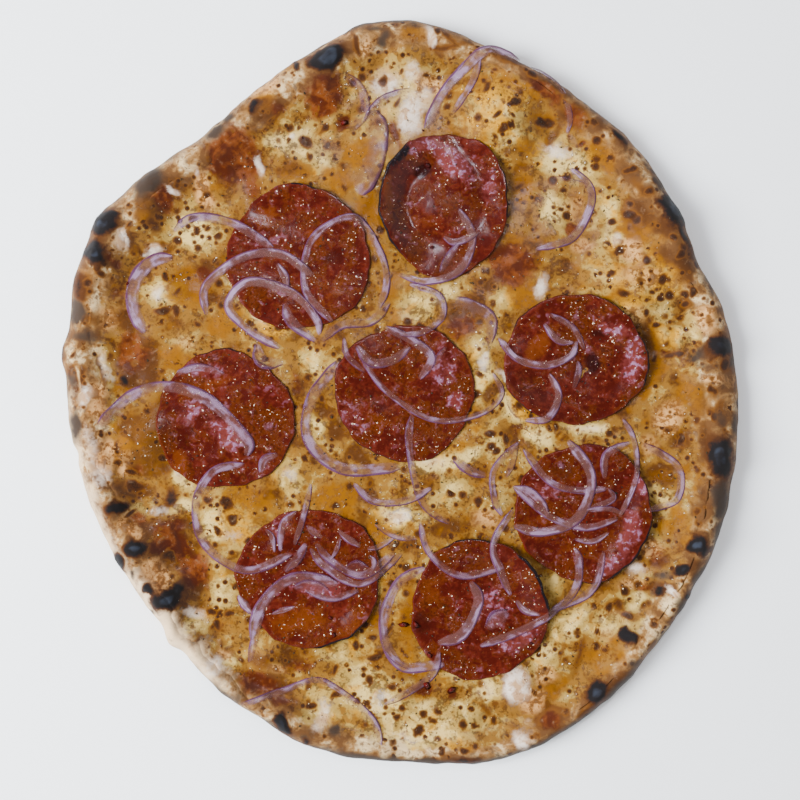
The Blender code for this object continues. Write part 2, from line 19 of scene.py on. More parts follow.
import bpy
import numpy as np
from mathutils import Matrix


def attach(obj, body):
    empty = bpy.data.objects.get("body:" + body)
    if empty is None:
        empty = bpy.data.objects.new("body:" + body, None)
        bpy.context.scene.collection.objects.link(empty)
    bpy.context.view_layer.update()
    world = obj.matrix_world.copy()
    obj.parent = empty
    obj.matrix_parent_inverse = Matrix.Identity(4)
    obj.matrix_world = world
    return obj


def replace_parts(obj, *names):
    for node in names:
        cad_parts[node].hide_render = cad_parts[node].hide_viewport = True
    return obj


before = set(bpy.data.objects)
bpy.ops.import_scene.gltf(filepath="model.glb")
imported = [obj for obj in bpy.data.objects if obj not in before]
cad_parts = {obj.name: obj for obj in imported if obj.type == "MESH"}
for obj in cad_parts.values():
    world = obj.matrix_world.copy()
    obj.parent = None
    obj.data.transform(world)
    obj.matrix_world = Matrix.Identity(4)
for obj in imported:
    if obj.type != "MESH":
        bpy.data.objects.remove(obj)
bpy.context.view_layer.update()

LOG = logging.getLogger("pizza")
MM = 0.001
FULL_TURN = 2.0 * math.pi
BODY = "root"

Array = np.ndarray
Row = tuple[float, ...]
Rows = tuple[Row, ...]
Colour = tuple[float, float, float]
Piece = bpy.types.Object
Socket = bpy.types.NodeSocket
Inputs = dict[int | str, object]


class Seed(IntEnum):
    """Which random heights a noise has, or which draws a scatter makes."""

    WOBBLE = 3
    CHEESE_LUMPS = 11
    CHEESE_EDGE = 12
    CHEESE_FRINGE = 13
    SPOTS = 21
    SPOT_CROWDS = 31
    SPOT_CLUSTERS = 32
    SLICE_WARP = 40
    ONION_SWAY = 51
    HERBS = 61
    CHILLI = 62
    PIE_EDGES = 71
    SLICE_GRAIN = 77
    SLICE_EDGES = 83
    LUMPS = 91
    CREASES = 92
    CHAR_CRUST = 93
    SWELLS = 94
    RIM_SWELLS = 95


# -------- the pie's own sizes, as in the solids

# At even steps anticlockwise from +X: the outline's radius, the bare rim's width and the crest's height.
OUTLINE, RIM_WIDTH, CREST = range(3)
EDGE: Rows = (
    (146, 15, 12), (143.7, 9.5, 12), (141.7, 12, 15), (146.8, 12, 12), (148.9, 8, 12), (153.5, 6.5, 13),
    (160.6, 11, 13), (151.4, 13, 13), (142.4, 12, 11.5), (141.8, 12, 11.5), (149.8, 14, 14), (147, 13, 13),
    (143.3, 14, 12.5), (142.2, 11, 12.5), (141.3, 13, 16), (143.4, 9, 13.5), (150.5, 7, 11.5),
    (157.3, 9, 11.5), (159.3, 7, 11), (163.7, 6.5, 11.5), (161.7, 7.5, 12), (155.9, 9, 12.5),
    (151.9, 10, 14), (148.6, 14, 13))

# Nicks and blisters of the outline: angle in degrees, half width in degrees, how far it stands out.
NICKS: Rows = (
    (22.5, 5, -2.2), (32, 2.5, 1.6), (97.5, 4, 1.4), (127.5, 5, -1.3), (173.5, 3, 2.6), (191, 2.2, -1.4),
    (227.5, 2, 2.2), (247, 3, -1))

# Puffed bubbles in the dough, and sunk places: x, y, radius, height.
BUBBLES: Rows = (
    (43, 121, 25, 8), (100, 50, 27, 6.5), (-110, -20, 17, 4.5), (-103, -60, 19, 4.5), (-96, -86, 13, 4),
    (-108, 72, 12, 2.5), (-31, 126, 15, 2.5), (5, 141, 14, 2.5), (-56, -115, 12, 3), (-46, -139, 13, 2),
    (52, -128, 15, 3), (98, -105, 14, 2.5), (116, -76, 14, 2.5), (129, 8, 13, 2.5), (-93, 46, 12, -1.2),
    (-127, 73, 11, 2.5), (-129, 58, 11, 2.5), (-109, 90, 11, 2), (-31, 145, 12, 2), (116, 78, 12, 2.5),
    (138, 20, 11, 2), (137, -27, 12, 2), (127, -63, 10, 2), (84, -128, 10, 1.5), (-122, -49, 10, 2),
    (-119, -72, 10, 2), (30, -150, 14, 1.5))

# The rim's section before it is reshaped: turned radius and height, from the base's edge over the crest and
# down the outer side to the underside.
RIM_SECTION: Rows = (
    (121, 4), (129, 5.8), (137, 10.6), (142, 12), (146.5, 10.3), (149.3, 7.2), (150, 4.2), (148, 1.4),
    (142, 0))


# -------- arithmetic on whole arrays

def ease(value: Array) -> Array:
    """Ease from 0 to 1 as value goes from 0 to 1: 3 v squared less 2 v cubed."""
    value = np.clip(value, 0.0, 1.0)
    return value * value * (3.0 - 2.0 * value)


def bell(value: Array) -> Array:
    """A soft bump: e to the power of minus value squared."""
    return np.exp(-value * value)


def in_oval(x: Array, y: Array, length: float, breadth: float, turn: float) -> tuple[Array, Array]:
    """Places seen from an oval's middle: along and across it, in its half length and half breadth."""
    cosine, sine = math.cos(math.radians(turn)), math.sin(math.radians(turn))
    return (x * cosine + y * sine) / length, (y * cosine - x * sine) / breadth


def apart(degrees: Array, bearing: float) -> Array:
    """How many degrees, from -180 to 180, a direction lies past a bearing."""
    return (degrees - bearing + 180.0) % 360.0 - 180.0


NOISE_SIDE = 64
OCTAVE_TURN = 0.6
OCTAVE_TURN_STEP = 1.1
OCTAVE_SEED_STEP = 17
CURVE_SHARES = 24


def soft_noise(x: Array, y: Array, length: float, seed: int) -> Array:
    """Smooth lumps between -1 and 1: random heights on a square grid, eased from each to the next.

    Args:
        x: Places to the right, in millimetres.
        y: Places upwards in the plan.
        length: Distance from one lump to the next.
        seed: Which random heights.

    Returns:
        A height at each place.
    """
    grid = np.random.default_rng(seed).uniform(-1.0, 1.0, (NOISE_SIDE, NOISE_SIDE))
    column, row = x / length, y / length
    left, low = np.floor(column).astype(int), np.floor(row).astype(int)
    across, along = ease(column - left), ease(row - low)

    def corner(step_x: int, step_y: int) -> Array:
        """The random height at one corner of each place's square."""
        return grid[(left + step_x) % NOISE_SIDE, (low + step_y) % NOISE_SIDE]

    near = corner(0, 0) * (1 - across) + corner(1, 0) * across
    far = corner(0, 1) * (1 - across) + corner(1, 1) * across
    return near * (1 - along) + far * along


def rough_noise(x: Array, y: Array, length: float, seed: int, octaves: int = 3) -> Array:
    """Lumps on lumps: a sum of soft noises, each turned, half as long and half as high as the one before.

    Args:
        x: Places to the right.
        y: Places upwards in the plan.
        length: Distance between the longest lumps.
        seed: Which random heights.
        octaves: How many noises are summed.

    Returns:
        A height at each place.
    """
    total = np.zeros_like(x)
    for octave in range(octaves):
        turn = OCTAVE_TURN + OCTAVE_TURN_STEP * octave
        across = x * math.cos(turn) - y * math.sin(turn)
        along = x * math.sin(turn) + y * math.cos(turn)
        total += soft_noise(across, along, length / 2**octave, seed + OCTAVE_SEED_STEP * octave) / 2**octave
    return total


def smooth_line(knots: Sequence[Row], step: float) -> tuple[Array, float]:
    """Even points along a smooth curve through a few points.

    Between two points the curve is the cubic that leaves each point parallel to the line joining its two
    neighbours.

    Args:
        knots: The points that the curve passes through.
        step: Distance from one returned point to the next, about.

    Returns:
        The points, one row each, and the curve's length.
    """
    given = np.array(knots, dtype=float)
    padded = np.vstack((2 * given[0] - given[1], given, 2 * given[-1] - given[-2]))
    share = np.linspace(0.0, 1.0, CURVE_SHARES, endpoint=False)[:, None]
    pieces = []
    for before, here, after, beyond in zip(padded, padded[1:], padded[2:], padded[3:]):
        pieces.append(0.5 * (2 * here + (after - before) * share
                             + (2 * before - 5 * here + 4 * after - beyond) * share**2
                             + (3 * here - before - 3 * after + beyond) * share**3))
    curve = np.vstack(pieces + [given[-1:]])
    travelled = np.concatenate(([0.0], np.cumsum(np.linalg.norm(np.diff(curve, axis=0), axis=1))))
    count = max(3, round(travelled[-1] / step))
    stops = np.linspace(0.0, travelled[-1], count + 1)
    line = np.column_stack([np.interp(stops, travelled, curve[:, axis]) for axis in range(given.shape[1])])
    return line, float(travelled[-1])


def ring_faces(rows: int, around: int) -> Array:
    """Quads between rows of a closed ring, where row r holds points r * around to (r + 1) * around - 1."""
    row, column = np.meshgrid(np.arange(rows - 1), np.arange(around), indexing="ij")
    beside = (column + 1) % around
    return np.stack((row * around + column, (row + 1) * around + column,
                     (row + 1) * around + beside, row * around + beside), axis=-1).reshape(-1, 4)


def fan_faces(centre: int, ring: Array, outward: bool) -> Array:
    """Triangles from one point to a ring of points, facing one way or the other."""
    after = np.roll(ring, -1)
    middle = np.full_like(ring, centre)
    return np.stack((middle, ring, after) if outward else (middle, after, ring), axis=-1)


def capped_faces(rows: int, around: int, outward: bool = True) -> list[Array]:
    """Faces of a tube of rings, whose first and last ring are closed by the two points after the rings."""
    ring = np.arange(around)
    end = rows * around
    quads = ring_faces(rows, around)
    return [quads if outward else quads[:, ::-1], fan_faces(end, ring, outward),
            fan_faces(end + 1, ring + (rows - 1) * around, not outward)]


def write_mesh(name: str, points: Array, faces: Sequence[Array], numbers: dict[str, Array]) -> Piece:
    """Make an object of a mesh.

    Args:
        name: The piece's name.
        points: Places in millimetres, one row each.
        faces: Arrays of point numbers, one row a face; each array holds faces of one kind.
        numbers: Values at the points, by the name of the attribute that the material reads.

    Returns:
        The new object, at the origin.
    """
    mesh = bpy.data.meshes.new(name)
    corners = np.concatenate([kind.ravel() for kind in faces]).astype(np.int32)
    sizes = np.concatenate([np.full(len(kind), kind.shape[1]) for kind in faces]).astype(np.int32)
    mesh.vertices.add(len(points))
    mesh.vertices.foreach_set("co", (points * MM).astype(np.float32).ravel())
    mesh.loops.add(len(corners))
    mesh.loops.foreach_set("vertex_index", corners)
    mesh.polygons.add(len(sizes))
    mesh.polygons.foreach_set("loop_start", (np.cumsum(sizes) - sizes).astype(np.int32))
    mesh.update(calc_edges=True)
    mesh.validate()
    mesh.shade_smooth()
    for key, values in numbers.items():
        layer = mesh.attributes.new(key, "FLOAT", "POINT")
        layer.data.foreach_set("value", values.astype(np.float32))
    piece = bpy.data.objects.new(name, mesh)
    bpy.context.scene.collection.objects.link(piece)
    return piece


# -------- a number at every place over the pie

class Field:
    """A number at every place over the pie, kept on a square grid and read between its cells."""

    CELL = 0.5
    HALF = 340

    def __init__(self, values: Array | None = None) -> None:
        """Start with the given values, or with 0 everywhere."""
        side = 2 * self.HALF + 1
        self.values = np.zeros((side, side)) if values is None else values

    @classmethod
    def places(cls) -> tuple[Array, Array]:
        """The x and y of every cell."""
        line = np.arange(-cls.HALF, cls.HALF + 1) * cls.CELL
        x, y = np.meshgrid(line, line, indexing="ij")
        return x, y

    @classmethod
    def window(cls, x: float, y: float, reach: float) -> tuple[slice, slice]:
        """The cells no further than reach from a place, to either side and up or down."""
        spans = []
        for middle in (x, y):
            low = max(0, int((middle - reach) / cls.CELL) + cls.HALF)
            spans.append(slice(low, int((middle + reach) / cls.CELL) + cls.HALF + 2))
        return spans[0], spans[1]

    def read(self, x: Array, y: Array) -> Array:
        """The value at any places: a mean of the four cells round each, by nearness.

        Args:
            x: Places to the right.
            y: Places upwards in the plan.

        Returns:
            A value for each place.
        """
        column = np.clip(x / self.CELL + self.HALF, 0.0, 2 * self.HALF - 1.001)
        row = np.clip(y / self.CELL + self.HALF, 0.0, 2 * self.HALF - 1.001)
        left, low = column.astype(int), row.astype(int)
        across, along = column - left, row - low
        near = self.values[left, low] * (1 - across) + self.values[left + 1, low] * across
        far = self.values[left, low + 1] * (1 - across) + self.values[left + 1, low + 1] * across
        return near * (1 - along) + far * along

    def blurred(self, spread: float) -> "Field":
        """A copy in which each cell is a mean of those round it, weighted by a bell of that spread."""
        turns = np.fft.fftfreq(self.values.shape[0])[:, None]
        turns_across = np.fft.rfftfreq(self.values.shape[1])[None, :]
        weight = np.exp(-2.0 * (math.pi * spread / self.CELL) ** 2 * (turns**2 + turns_across**2))
        return Field(np.fft.irfft2(np.fft.rfft2(self.values) * weight, s=self.values.shape))

    def raise_to(self, x: Array, y: Array, heights: Array) -> None:
        """Lift the cells nearest to some places to at least those places' heights."""
        column = np.clip(np.rint(x / self.CELL).astype(int) + self.HALF, 0, 2 * self.HALF)
        row = np.clip(np.rint(y / self.CELL).astype(int) + self.HALF, 0, 2 * self.HALF)
        np.maximum.at(self.values, (column, row), heights)


# -------- the pie's plan and section

@dataclass(frozen=True)
class PieShape:
    """The plan and section of the pie: a turned section whose rim is stretched and lifted round the pie."""

    base: float = 4.0
    foot: float = 121.0
    crest: float = 12.0
    outer: float = 150.0
    section_step: float = 0.62
    wobble: float = 0.7
    wobble_length: float = 21.0
    wobble_onset: float = 10.0
    cheese_reach: float = 137.0
    cheese_overlap: float = 1.5
    cheese_slope: float = 15.0
    cheese_sunk: float = 0.35
    cheese_thickness: float = 2.4
    cheese_lump: float = 0.7
    cheese_lump_length: float = 13.0
    edge_rag: float = 2.2
    edge_rag_length: float = 9.0
    fringe: float = 0.6
    fringe_length: float = 2.5

    @staticmethod
    def around(column: int, angle: Array) -> Array:
        """One column of EDGE at any angle in radians, on a closed cubic curve through its values.

        Args:
            column: OUTLINE, RIM_WIDTH or CREST.
            angle: The angles.

        Returns:
            A value at each angle.
        """
        values = np.array([row[column] for row in EDGE])
        place = np.degrees(angle) / (360.0 / len(EDGE))
        index = np.floor(place).astype(int)
        share = place - index
        before, here, after, beyond = (values[(index + shift) % len(values)] for shift in (-1, 0, 1, 2))
        return ((2 * share**3 - 3 * share**2 + 1) * here
                + (share**3 - 2 * share**2 + share) * (after - before) / 2
                + (3 * share**2 - 2 * share**3) * after
                + (share**3 - share**2) * (beyond - here) / 2)

    def outline(self, angle: Array) -> Array:
        """The pie's outer radius at an angle, with its nicks and blisters."""
        radius = self.around(OUTLINE, angle)
        for nick, half_width, stand_out in NICKS:
            radius = radius + stand_out * bell(apart(np.degrees(angle), nick) / half_width)
        return radius

    def rim(self, angle: Array) -> tuple[Array, Array, Array]:
        """At an angle: the outline, how many times as wide the rim is as in the section, and its foot."""
        outline, width = self.outline(angle), self.around(RIM_WIDTH, angle)
        scale = width / (self.outer - self.cheese_reach)
        return outline, scale, outline - (self.outer - self.foot) * scale

    def place(self, reach: Array, angle: Array) -> tuple[Array, Array]:
        """Where a turned radius lies: measured in from the outline on the rim, in proportion inside."""
        outline, scale, foot = self.rim(angle)
        radius = np.where(reach > self.foot, outline - (self.outer - reach) * scale, reach / self.foot * foot)
        return radius * np.cos(angle), radius * np.sin(angle)

    def reach_at(self, x: Array, y: Array) -> tuple[Array, Array]:
        """The turned radius and the angle of any place: place() worked backwards."""
        angle = np.arctan2(y, x) % FULL_TURN
        radius = np.hypot(x, y)
        outline, scale, foot = self.rim(angle)
        on_rim = self.outer - (outline - radius) / scale
        return np.where(radius > foot, on_rim, radius / foot * self.foot), angle

    @staticmethod
    def bubbles(x: Array, y: Array) -> Array:
        """The height that the puffed bubbles add at a place."""
        height = np.zeros_like(x)
        for bubble_x, bubble_y, radius, rise in BUBBLES:
            height += rise * (1.0 - ease(np.hypot(x - bubble_x, y - bubble_y) / radius))
        return height

    def lift(self, turned_height: Array, reach: Array, angle: Array, x: Array, y: Array) -> Array:
        """The real height of a place on the turned section: stretched to the crest, then the bubbles.

        Args:
            turned_height: Heights in the turned section.
            reach: Turned radii.
            angle: Angles round the pie.
            x: Places to the right.
            y: Places upwards in the plan.

        Returns:
            Heights on the pie.
        """
        rise = turned_height - self.base
        crest_scale = (self.around(CREST, angle) - self.base) / (self.crest - self.base)
        height = np.where(rise > 0.0, self.base + rise * crest_scale, turned_height)
        onset = ease((reach - self.foot) / self.wobble_onset)
        wobble = self.wobble * onset * soft_noise(x, y, self.wobble_length, Seed.WOBBLE)
        half = self.base / 2.0
        return height + ease((turned_height - half) / half) * (self.bubbles(x, y) + wobble)

    def scatter(self, random: np.random.Generator, count: int, margin: float) -> tuple[Array, Array]:
        """Random places on the pie, no nearer to its outline than margin."""
        angle = random.uniform(0.0, FULL_TURN, count)
        radius = np.sqrt(random.uniform(0.0, 1.0, count)) * (self.outline(angle) - margin)
        return radius * np.cos(angle), radius * np.sin(angle)

    @cached_property
    def rim_curve(self) -> Array:
        """Even points on the smooth curve through RIM_SECTION."""
        return smooth_line(RIM_SECTION, self.section_step)[0]

    def dough_top(self, x: Array, y: Array) -> Array:
        """The height of the dough's upper side; outside the outline it is the table, at 0."""
        reach, angle = self.reach_at(x, y)
        upper = self.rim_curve[:int(np.argmax(self.rim_curve[:, 0])) + 1]
        turned = np.interp(reach, upper[:, 0], upper[:, 1])
        return np.where(reach > self.outer, 0.0, self.lift(turned, reach, angle, x, y))

    def cheese_depth(self, x: Array, y: Array, reach: Array) -> Array:
        """The thickness of the melted layer: lumpy, and gone below the dough at a ragged edge on the rim.

        Args:
            x: Places to the right.
            y: Places upwards in the plan.
            reach: Their turned radii.

        Returns:
            Thicknesses, below 0 where it is gone.
        """
        lumps = soft_noise(x, y, self.cheese_lump_length, Seed.CHEESE_LUMPS)
        body = self.cheese_thickness + self.cheese_lump * lumps
        rough = (reach + self.edge_rag * rough_noise(x, y, self.edge_rag_length, Seed.CHEESE_EDGE)
                 + self.fringe * soft_noise(x, y, self.fringe_length, Seed.CHEESE_FRINGE))
        inside = ease((self.cheese_reach + self.cheese_overlap - rough) / self.cheese_slope)
        return -self.cheese_sunk + (body + self.cheese_sunk) * np.sqrt(inside)


# -------- what is painted on the pie

class Layer(Enum):
    """What lies on, or has happened to, a place; the value is the name of the mesh attribute."""

    BARE = "bare"
    CHAR = "char"
    SMOKE = "smoke"
    TOAST = "toast"
    SPOT = "spot"
    SAUCE = "sauce"
    MILK = "milk"
    CREAM = "cream"
    BROWN = "brown"
    GOLD = "gold"
    PEACH = "peach"
    OIL = "oil"
    FLOUR = "flour"
    PINK = "pink"
    AMBER = "amber"
    DEEP = "deep"


# A patch is x, y, half length, half breadth, then where they aren't 1 and 0, strength and turn in degrees.
PATCH_DEFAULTS: Row = (1.0, 0.0)

# Black, blistered dough:
CHAR: Rows = (
    (-30.5, 142, 9.5, 4.6, 1.15, 12), (-126.5, 72, 6.5, 6, 1.1, 50), (-129, 59, 6, 7, 1.1), (-124, 75, 4, 3),
    (116, 77, 9, 6, 1.1, -60), (137, 20, 6.5, 5.5, 1, 20), (136, -28, 6, 10, 1.1),
    (126.5, -63.5, 4.2, 4.8, 1.1), (120, -75, 4, 2.8, 1, 10), (-99, -87, 8, 6, 1.1, 15),
    (-107, -84, 3.4, 2.2, 0.9, 20), (-95, -83, 3, 4.4), (84.5, -128, 4.6, 6, 1.1, -20),
    (97.5, -104, 4.2, 3.6), (-111, -66, 5.5, 4.8, 1.1, 20), (-118.5, -72, 2.8, 4.8, 0.95, 25),
    (-120, -49, 4.4, 3, 0.9, 20), (-99.5, -45.5, 3.2, 3, 0.66), (-51, -142, 4.4, 5, 1, 40),
    (113, -85.5, 3, 3.4, 0.8), (-120, 6, 3.2, 2.6, 0.8, -20), (124, -87, 1.6, 1.6),
    (-62.5, 122.5, 2.6, 3, 0.75, 20), (-45.5, 138.5, 4, 1.6, 0.75, -50), (94, 109, 5, 2.4, 0.8, -45),
    (121, 66, 2.4, 8, 0.7, 25), (27, -157, 7, 2, 0.6, 5), (-40, -149, 2.4, 2.4, 0.7),
    (-136, 44, 2.6, 5, 0.6, 10))

# Grey-brown, smoked dough, with painted shade along the right-hand rim:
SMOKE: Rows = (
    (-107, 89, 10, 6, 1.1, 42), (-79, 112, 5, 3, 1, 40), (-73, 116.5, 4, 2.4, 1, 35),
    (-62, 122, 3.4, 3, 0.8), (82, 123, 6, 2.4, 0.7, -45), (132, 47.5, 3, 6, 0.9, 12), (143, 14, 3.5, 6, 0.9),
    (129, 17, 7, 3.4, 0.9, 20), (137, 3, 3, 3, 0.5), (143, -13, 3, 7, 0.9), (112, -77, 6, 2.6, 0.8, 10),
    (110, -87, 3, 2.6, 0.7), (100, -116, 5, 3, 0.8, 40), (-27, -146, 3.6, 3), (-40, -148, 3, 4, 0.9),
    (28, -157, 10, 3, 1, 5), (-106, -93.5, 3, 2.4, 0.9), (-112.5, -78, 2.2, 2.4, 0.9),
    (-115, -86, 3, 2, 0.7, 40), (-70, -131, 3, 3, 0.7), (-137, 34, 5, 6, 1.2, 10), (-134, 24, 7, 3, 0.9, 10),
    (-142, 44, 2.6, 10, 0.9, 8), (-141, 5, 3, 5, 0.8), (-138, -14, 4, 8, 1.1), (137, -45, 5, 12, 1.1, -10),
    (121, -92, 4, 5, 0.6, -30), (5, 156, 5, 3, 0.6), (-6, 151, 2.4, 5, 0.9), (106, 97, 3, 2, 0.7, -45),
    (112, 90, 4, 6, 0.9, 30), (-10, 155, 5, 1.6, 0.8), (130, 12, 4, 3, 0.6), (137, -10, 3, 5, 0.7),
    (-120, 78, 4, 3, 0.5), (70, -146, 8, 3, 0.7, 30))

# Browned dough and folds:
TOAST: Rows = (
    (-135.4, 45, 4.6, 7.5, 1.4, 8), (-140, 4, 2.4, 9, 1.4, 8), (-134.8, 4, 2, 8, 1.2, 8),
    (-98.6, -45, 5, 5, 0.5), (-102, -33, 4, 4, 0.7), (-105, -9, 3, 7, 0.6), (-120, 6, 2, 2.4),
    (105, 87, 5, 4, 0.9, -40), (-145, 17, 3.4, 3.2, 0.8), (-131, 30, 4.4, 3.2, 0.8), (-106.5, 71, 3.4, 4),
    (-58, 123, 5, 3, 0.8, 30), (139, 12, 5, 3.2), (136, -7, 2.6, 4.4, 0.8), (132, 29, 1.6, 3, 0.8),
    (122, 38, 3, 2.4, 0.9), (-18, 149, 8, 1.7, 1.1, -64), (-1, 157, 1.8, 3.4, 0.95),
    (20, 148.5, 9, 1.3, 0.9, 3), (20, 152.5, 7, 0.9, 0.9, -36), (124, 58.5, 7.5, 2.8, 0.9, -32),
    (104, 87, 6, 2.6, 0.9, -50), (117, -97.5, 3.4, 1.4, 0.8, 14), (37, -136, 6, 1.4, 0.9, -63),
    (49, 141, 8, 1.8, 0.9, -22), (66, 127, 9, 2, 0.9, -45), (-107, -18, 11, 16, 0.45, -5),
    (80, -135, 8, 2, 0.8, 40), (77, -112, 1.6, 9, 0.8, -8), (71, -112, 1.2, 8, 0.6, -8),
    (64, -140, 7, 3, 0.7, 30), (-128, 10, 1, 8, 0.9, 15), (-120, -9, 4, 1, 0.5), (100, 75, 7, 3, 0.8, -50),
    (-104, 60, 8, 10, 0.2), (117, -62, 6, 8, 0.3), (128, -8, 7, 12, 0.35), (-60, -122, 10, 8, 0.45))

# Tomato sauce that shows:
SAUCE: Rows = (
    (-71, 101, 14, 13, 1.2, -50), (-64, 88, 6, 6, 0.8), (-101, 82, 5, 7), (-122, 57, 5, 6, 0.7),
    (-84, 51, 5, 5, 0.9), (-32, 127, 11, 9, 1.2, 60), (-24, 116.5, 4, 3), (-2, 112, 2.4, 8, 0.9, 10),
    (13, 130, 3.6, 2.2, 0.5), (62, 129, 9, 3.4, 0.9, -40), (75, 119, 4, 4, 0.8), (79, 107, 2.4, 2.4, 0.8),
    (73, 72, 3, 3, 0.9), (49, 55, 12.5, 9, 1.2), (38, 60, 6, 5, 0.8), (26, 28, 9, 6, 0.9, 20),
    (-116, 18, 7, 10, 0.9), (-120, 44, 5, 6, 0.5), (-111, -54, 4, 3.4, 0.8), (-97, -66, 10, 6, 1.1, -20),
    (-89, -76, 8, 8, 1.05, -30), (-99, -58, 7, 5, 0.9), (-60, -126, 10, 5, 1, -20), (-52, -133, 6, 3, 0.7),
    (-42, -118, 11, 4, 0.6, 10), (11, -128, 6, 4, 0.9), (22, -129, 3, 3, 0.9), (65, -141, 5, 4, 0.8),
    (110, -70, 5, 4, 0.6), (104, -84, 6, 3, 0.7), (116, 17, 2.8, 2, 0.7), (-113, -32, 4, 3, 0.6),
    (-72, -35, 8, 4, 0.5), (56, -30, 4, 6, 0.4), (-52, 120, 5, 4, 0.6), (-45, 3, 3, 8, 0.5),
    (39, -117, 6, 3, 0.6), (52, -16, 5, 5, 0.5), (-40, 130, 3, 7, 0.6), (-106, 85, 3, 4, 0.6))

# White cheese and pale, floury dough; the patch at (61, 45) is a painted highlight:
MILK: Rows = (
    (5, 119, 6, 10, 1.1, -15), (-6, 133, 7, 5, 0.9), (6, 137, 6, 5, 0.8), (10, 126, 5, 6, 0.7),
    (67, 104, 8, 4.4, 0.8, -10), (93, 66, 3, 4, 0.8, -20), (61, 45, 2, 6, 0.9, -20),
    (-107, 61, 5.5, 2.2, 0.8, 10), (-119, 66, 4, 3, 0.9), (-96, 85, 4.6, 1.6, 1, -45),
    (-87, 94, 1.6, 3.4, 0.6), (-60, 97, 2.2, 5, 0.8), (50, -126, 7, 9, 1.2), (53, -149, 5, 6, 1.05),
    (-33, -139, 3.4, 8, 0.75, -8), (-80, -118, 4.6, 6, 1.1, -35), (-88, -95, 6, 3, 0.9, -40),
    (102, -76, 4, 3), (117, -85, 4.4, 2, 1.1, -50), (-96, -33, 2, 7, 0.8, 35), (-132, -24, 3, 12, 0.6, 8),
    (-127, -36, 5, 7, 0.75, -20), (-133, -2, 4, 5), (13, 152, 5, 2.4, 1.1, -55), (-127, 12, 2, 8, 0.7, 15),
    (-46, 110, 3, 2.4), (0, -54, 7, 4, 0.9), (36, 14, 2.4, 7, 0.7), (-105, 42, 3, 3, 0.8),
    (14, -30, 8, 3, 0.6, 5), (37, -128, 3, 4, 0.4), (-8, -132, 6, 5, 0.6), (2, -148, 8, 2, 0.5),
    (-95, -107, 7, 3, 0.8, -30), (-73, -60, 5, 4, 0.4), (82, -17, 8, 2, 0.6, -5),
    (-63, 35, 9, 1.6, 0.8, -44), (45, 6, 1.8, 7, 0.8, 35), (-48, -35, 4, 4, 0.5), (-103, -50, 5, 2.4, 0.6))

# Pale melted cheese:
CREAM: Rows = (
    (4, 131, 12, 11, 0.8), (43, 112, 18, 7, 0.55), (30, 117, 6, 5, 0.6), (69, 100, 14, 9, 0.95, -30),
    (91, 78, 7, 9, 0.8), (92, 66, 7, 6, 0.8), (67, 79, 6, 8, 0.9), (-46, 108, 14, 7, 1, -10),
    (-35, 100, 8, 7, 0.6), (-90, 69, 11, 9, 0.8), (-101, 43, 10, 7, 0.9), (-59, 32, 13, 4, 1, -42),
    (-39, 12, 6, 8, 0.7), (-36, -13, 5, 6, 0.7), (-48, -36, 7, 8, 0.7), (-94, -35, 5, 12, 1, 35),
    (-95, -50, 7, 4, 0.9), (-81, -58, 7, 9, 1, 20), (-70, -60, 12, 12, 0.6), (-78, -84, 6, 10, 0.6, 20),
    (-90, -100, 8, 6, 0.8), (-95, -107, 10, 4, 0.9, -30), (-72, -116, 8, 5, 0.8),
    (-15, -127, 14, 8, 0.95, -10), (-26, -112, 10, 7, 0.7), (0, -138, 42, 14, 0.6), (22, -122, 10, 4, 0.6),
    (-3, -135, 12, 5, 0.9), (-37, -135, 8, 9, 0.6), (4, -149, 24, 6, 0.95), (34, -140, 12, 7, 0.7),
    (70, -107, 9, 8, 0.35), (38, -128, 6, 6), (63, -113, 7, 9, 0.7), (73, -99, 10, 5, 0.8, 20),
    (66, -82, 7, 5, 0.9), (92, -99, 12, 6, 0.7, -10), (103, -90, 8, 4, 0.7, 20), (113, -45, 9, 6, 0.8, -20),
    (116, 24, 7, 5, 0.8), (83, -17, 13, 3.6, 1, -5), (60, -19, 9, 5, 0.95, -20), (48, -5, 5, 13, 0.95, 33),
    (36, 9, 5, 14, 0.95, 5), (14, -31, 13, 5, 1.1, 5), (30, -27, 6, 4, 0.7), (24, -42, 8, 5, 0.6),
    (0, -54, 11, 6, 1.05), (8, 38, 10, 9, 0.7), (20, 43, 6, 4, 0.7), (45, 41, 6, 5, 0.7),
    (103, 47, 22, 17, 0.5, -20), (96, 34, 9, 7), (128, 28, 6, 7, 0.6), (133, 5, 6, 4, 0.8),
    (-128, 10, 4, 10, 0.7, 10), (-96, 98, 7, 4, 0.5, 30), (-52, 132, 12, 5, 0.5, 35), (-15, 147, 5, 6, 0.6),
    (40, -22, 8, 8, 0.5), (-92, 22, 9, 5, 0.4), (112, -103, 8, 4, 0.5, -45), (-17, -75, 3, 10, 0.3),
    (78, 95, 8, 5, 0.7), (-63, 8, 6, 4, 0.4), (42, 121, 15, 11, 0.6, -15), (94, 52, 16, 13, 0.45, -20),
    (-33, -134, 12, 10, 0.6))
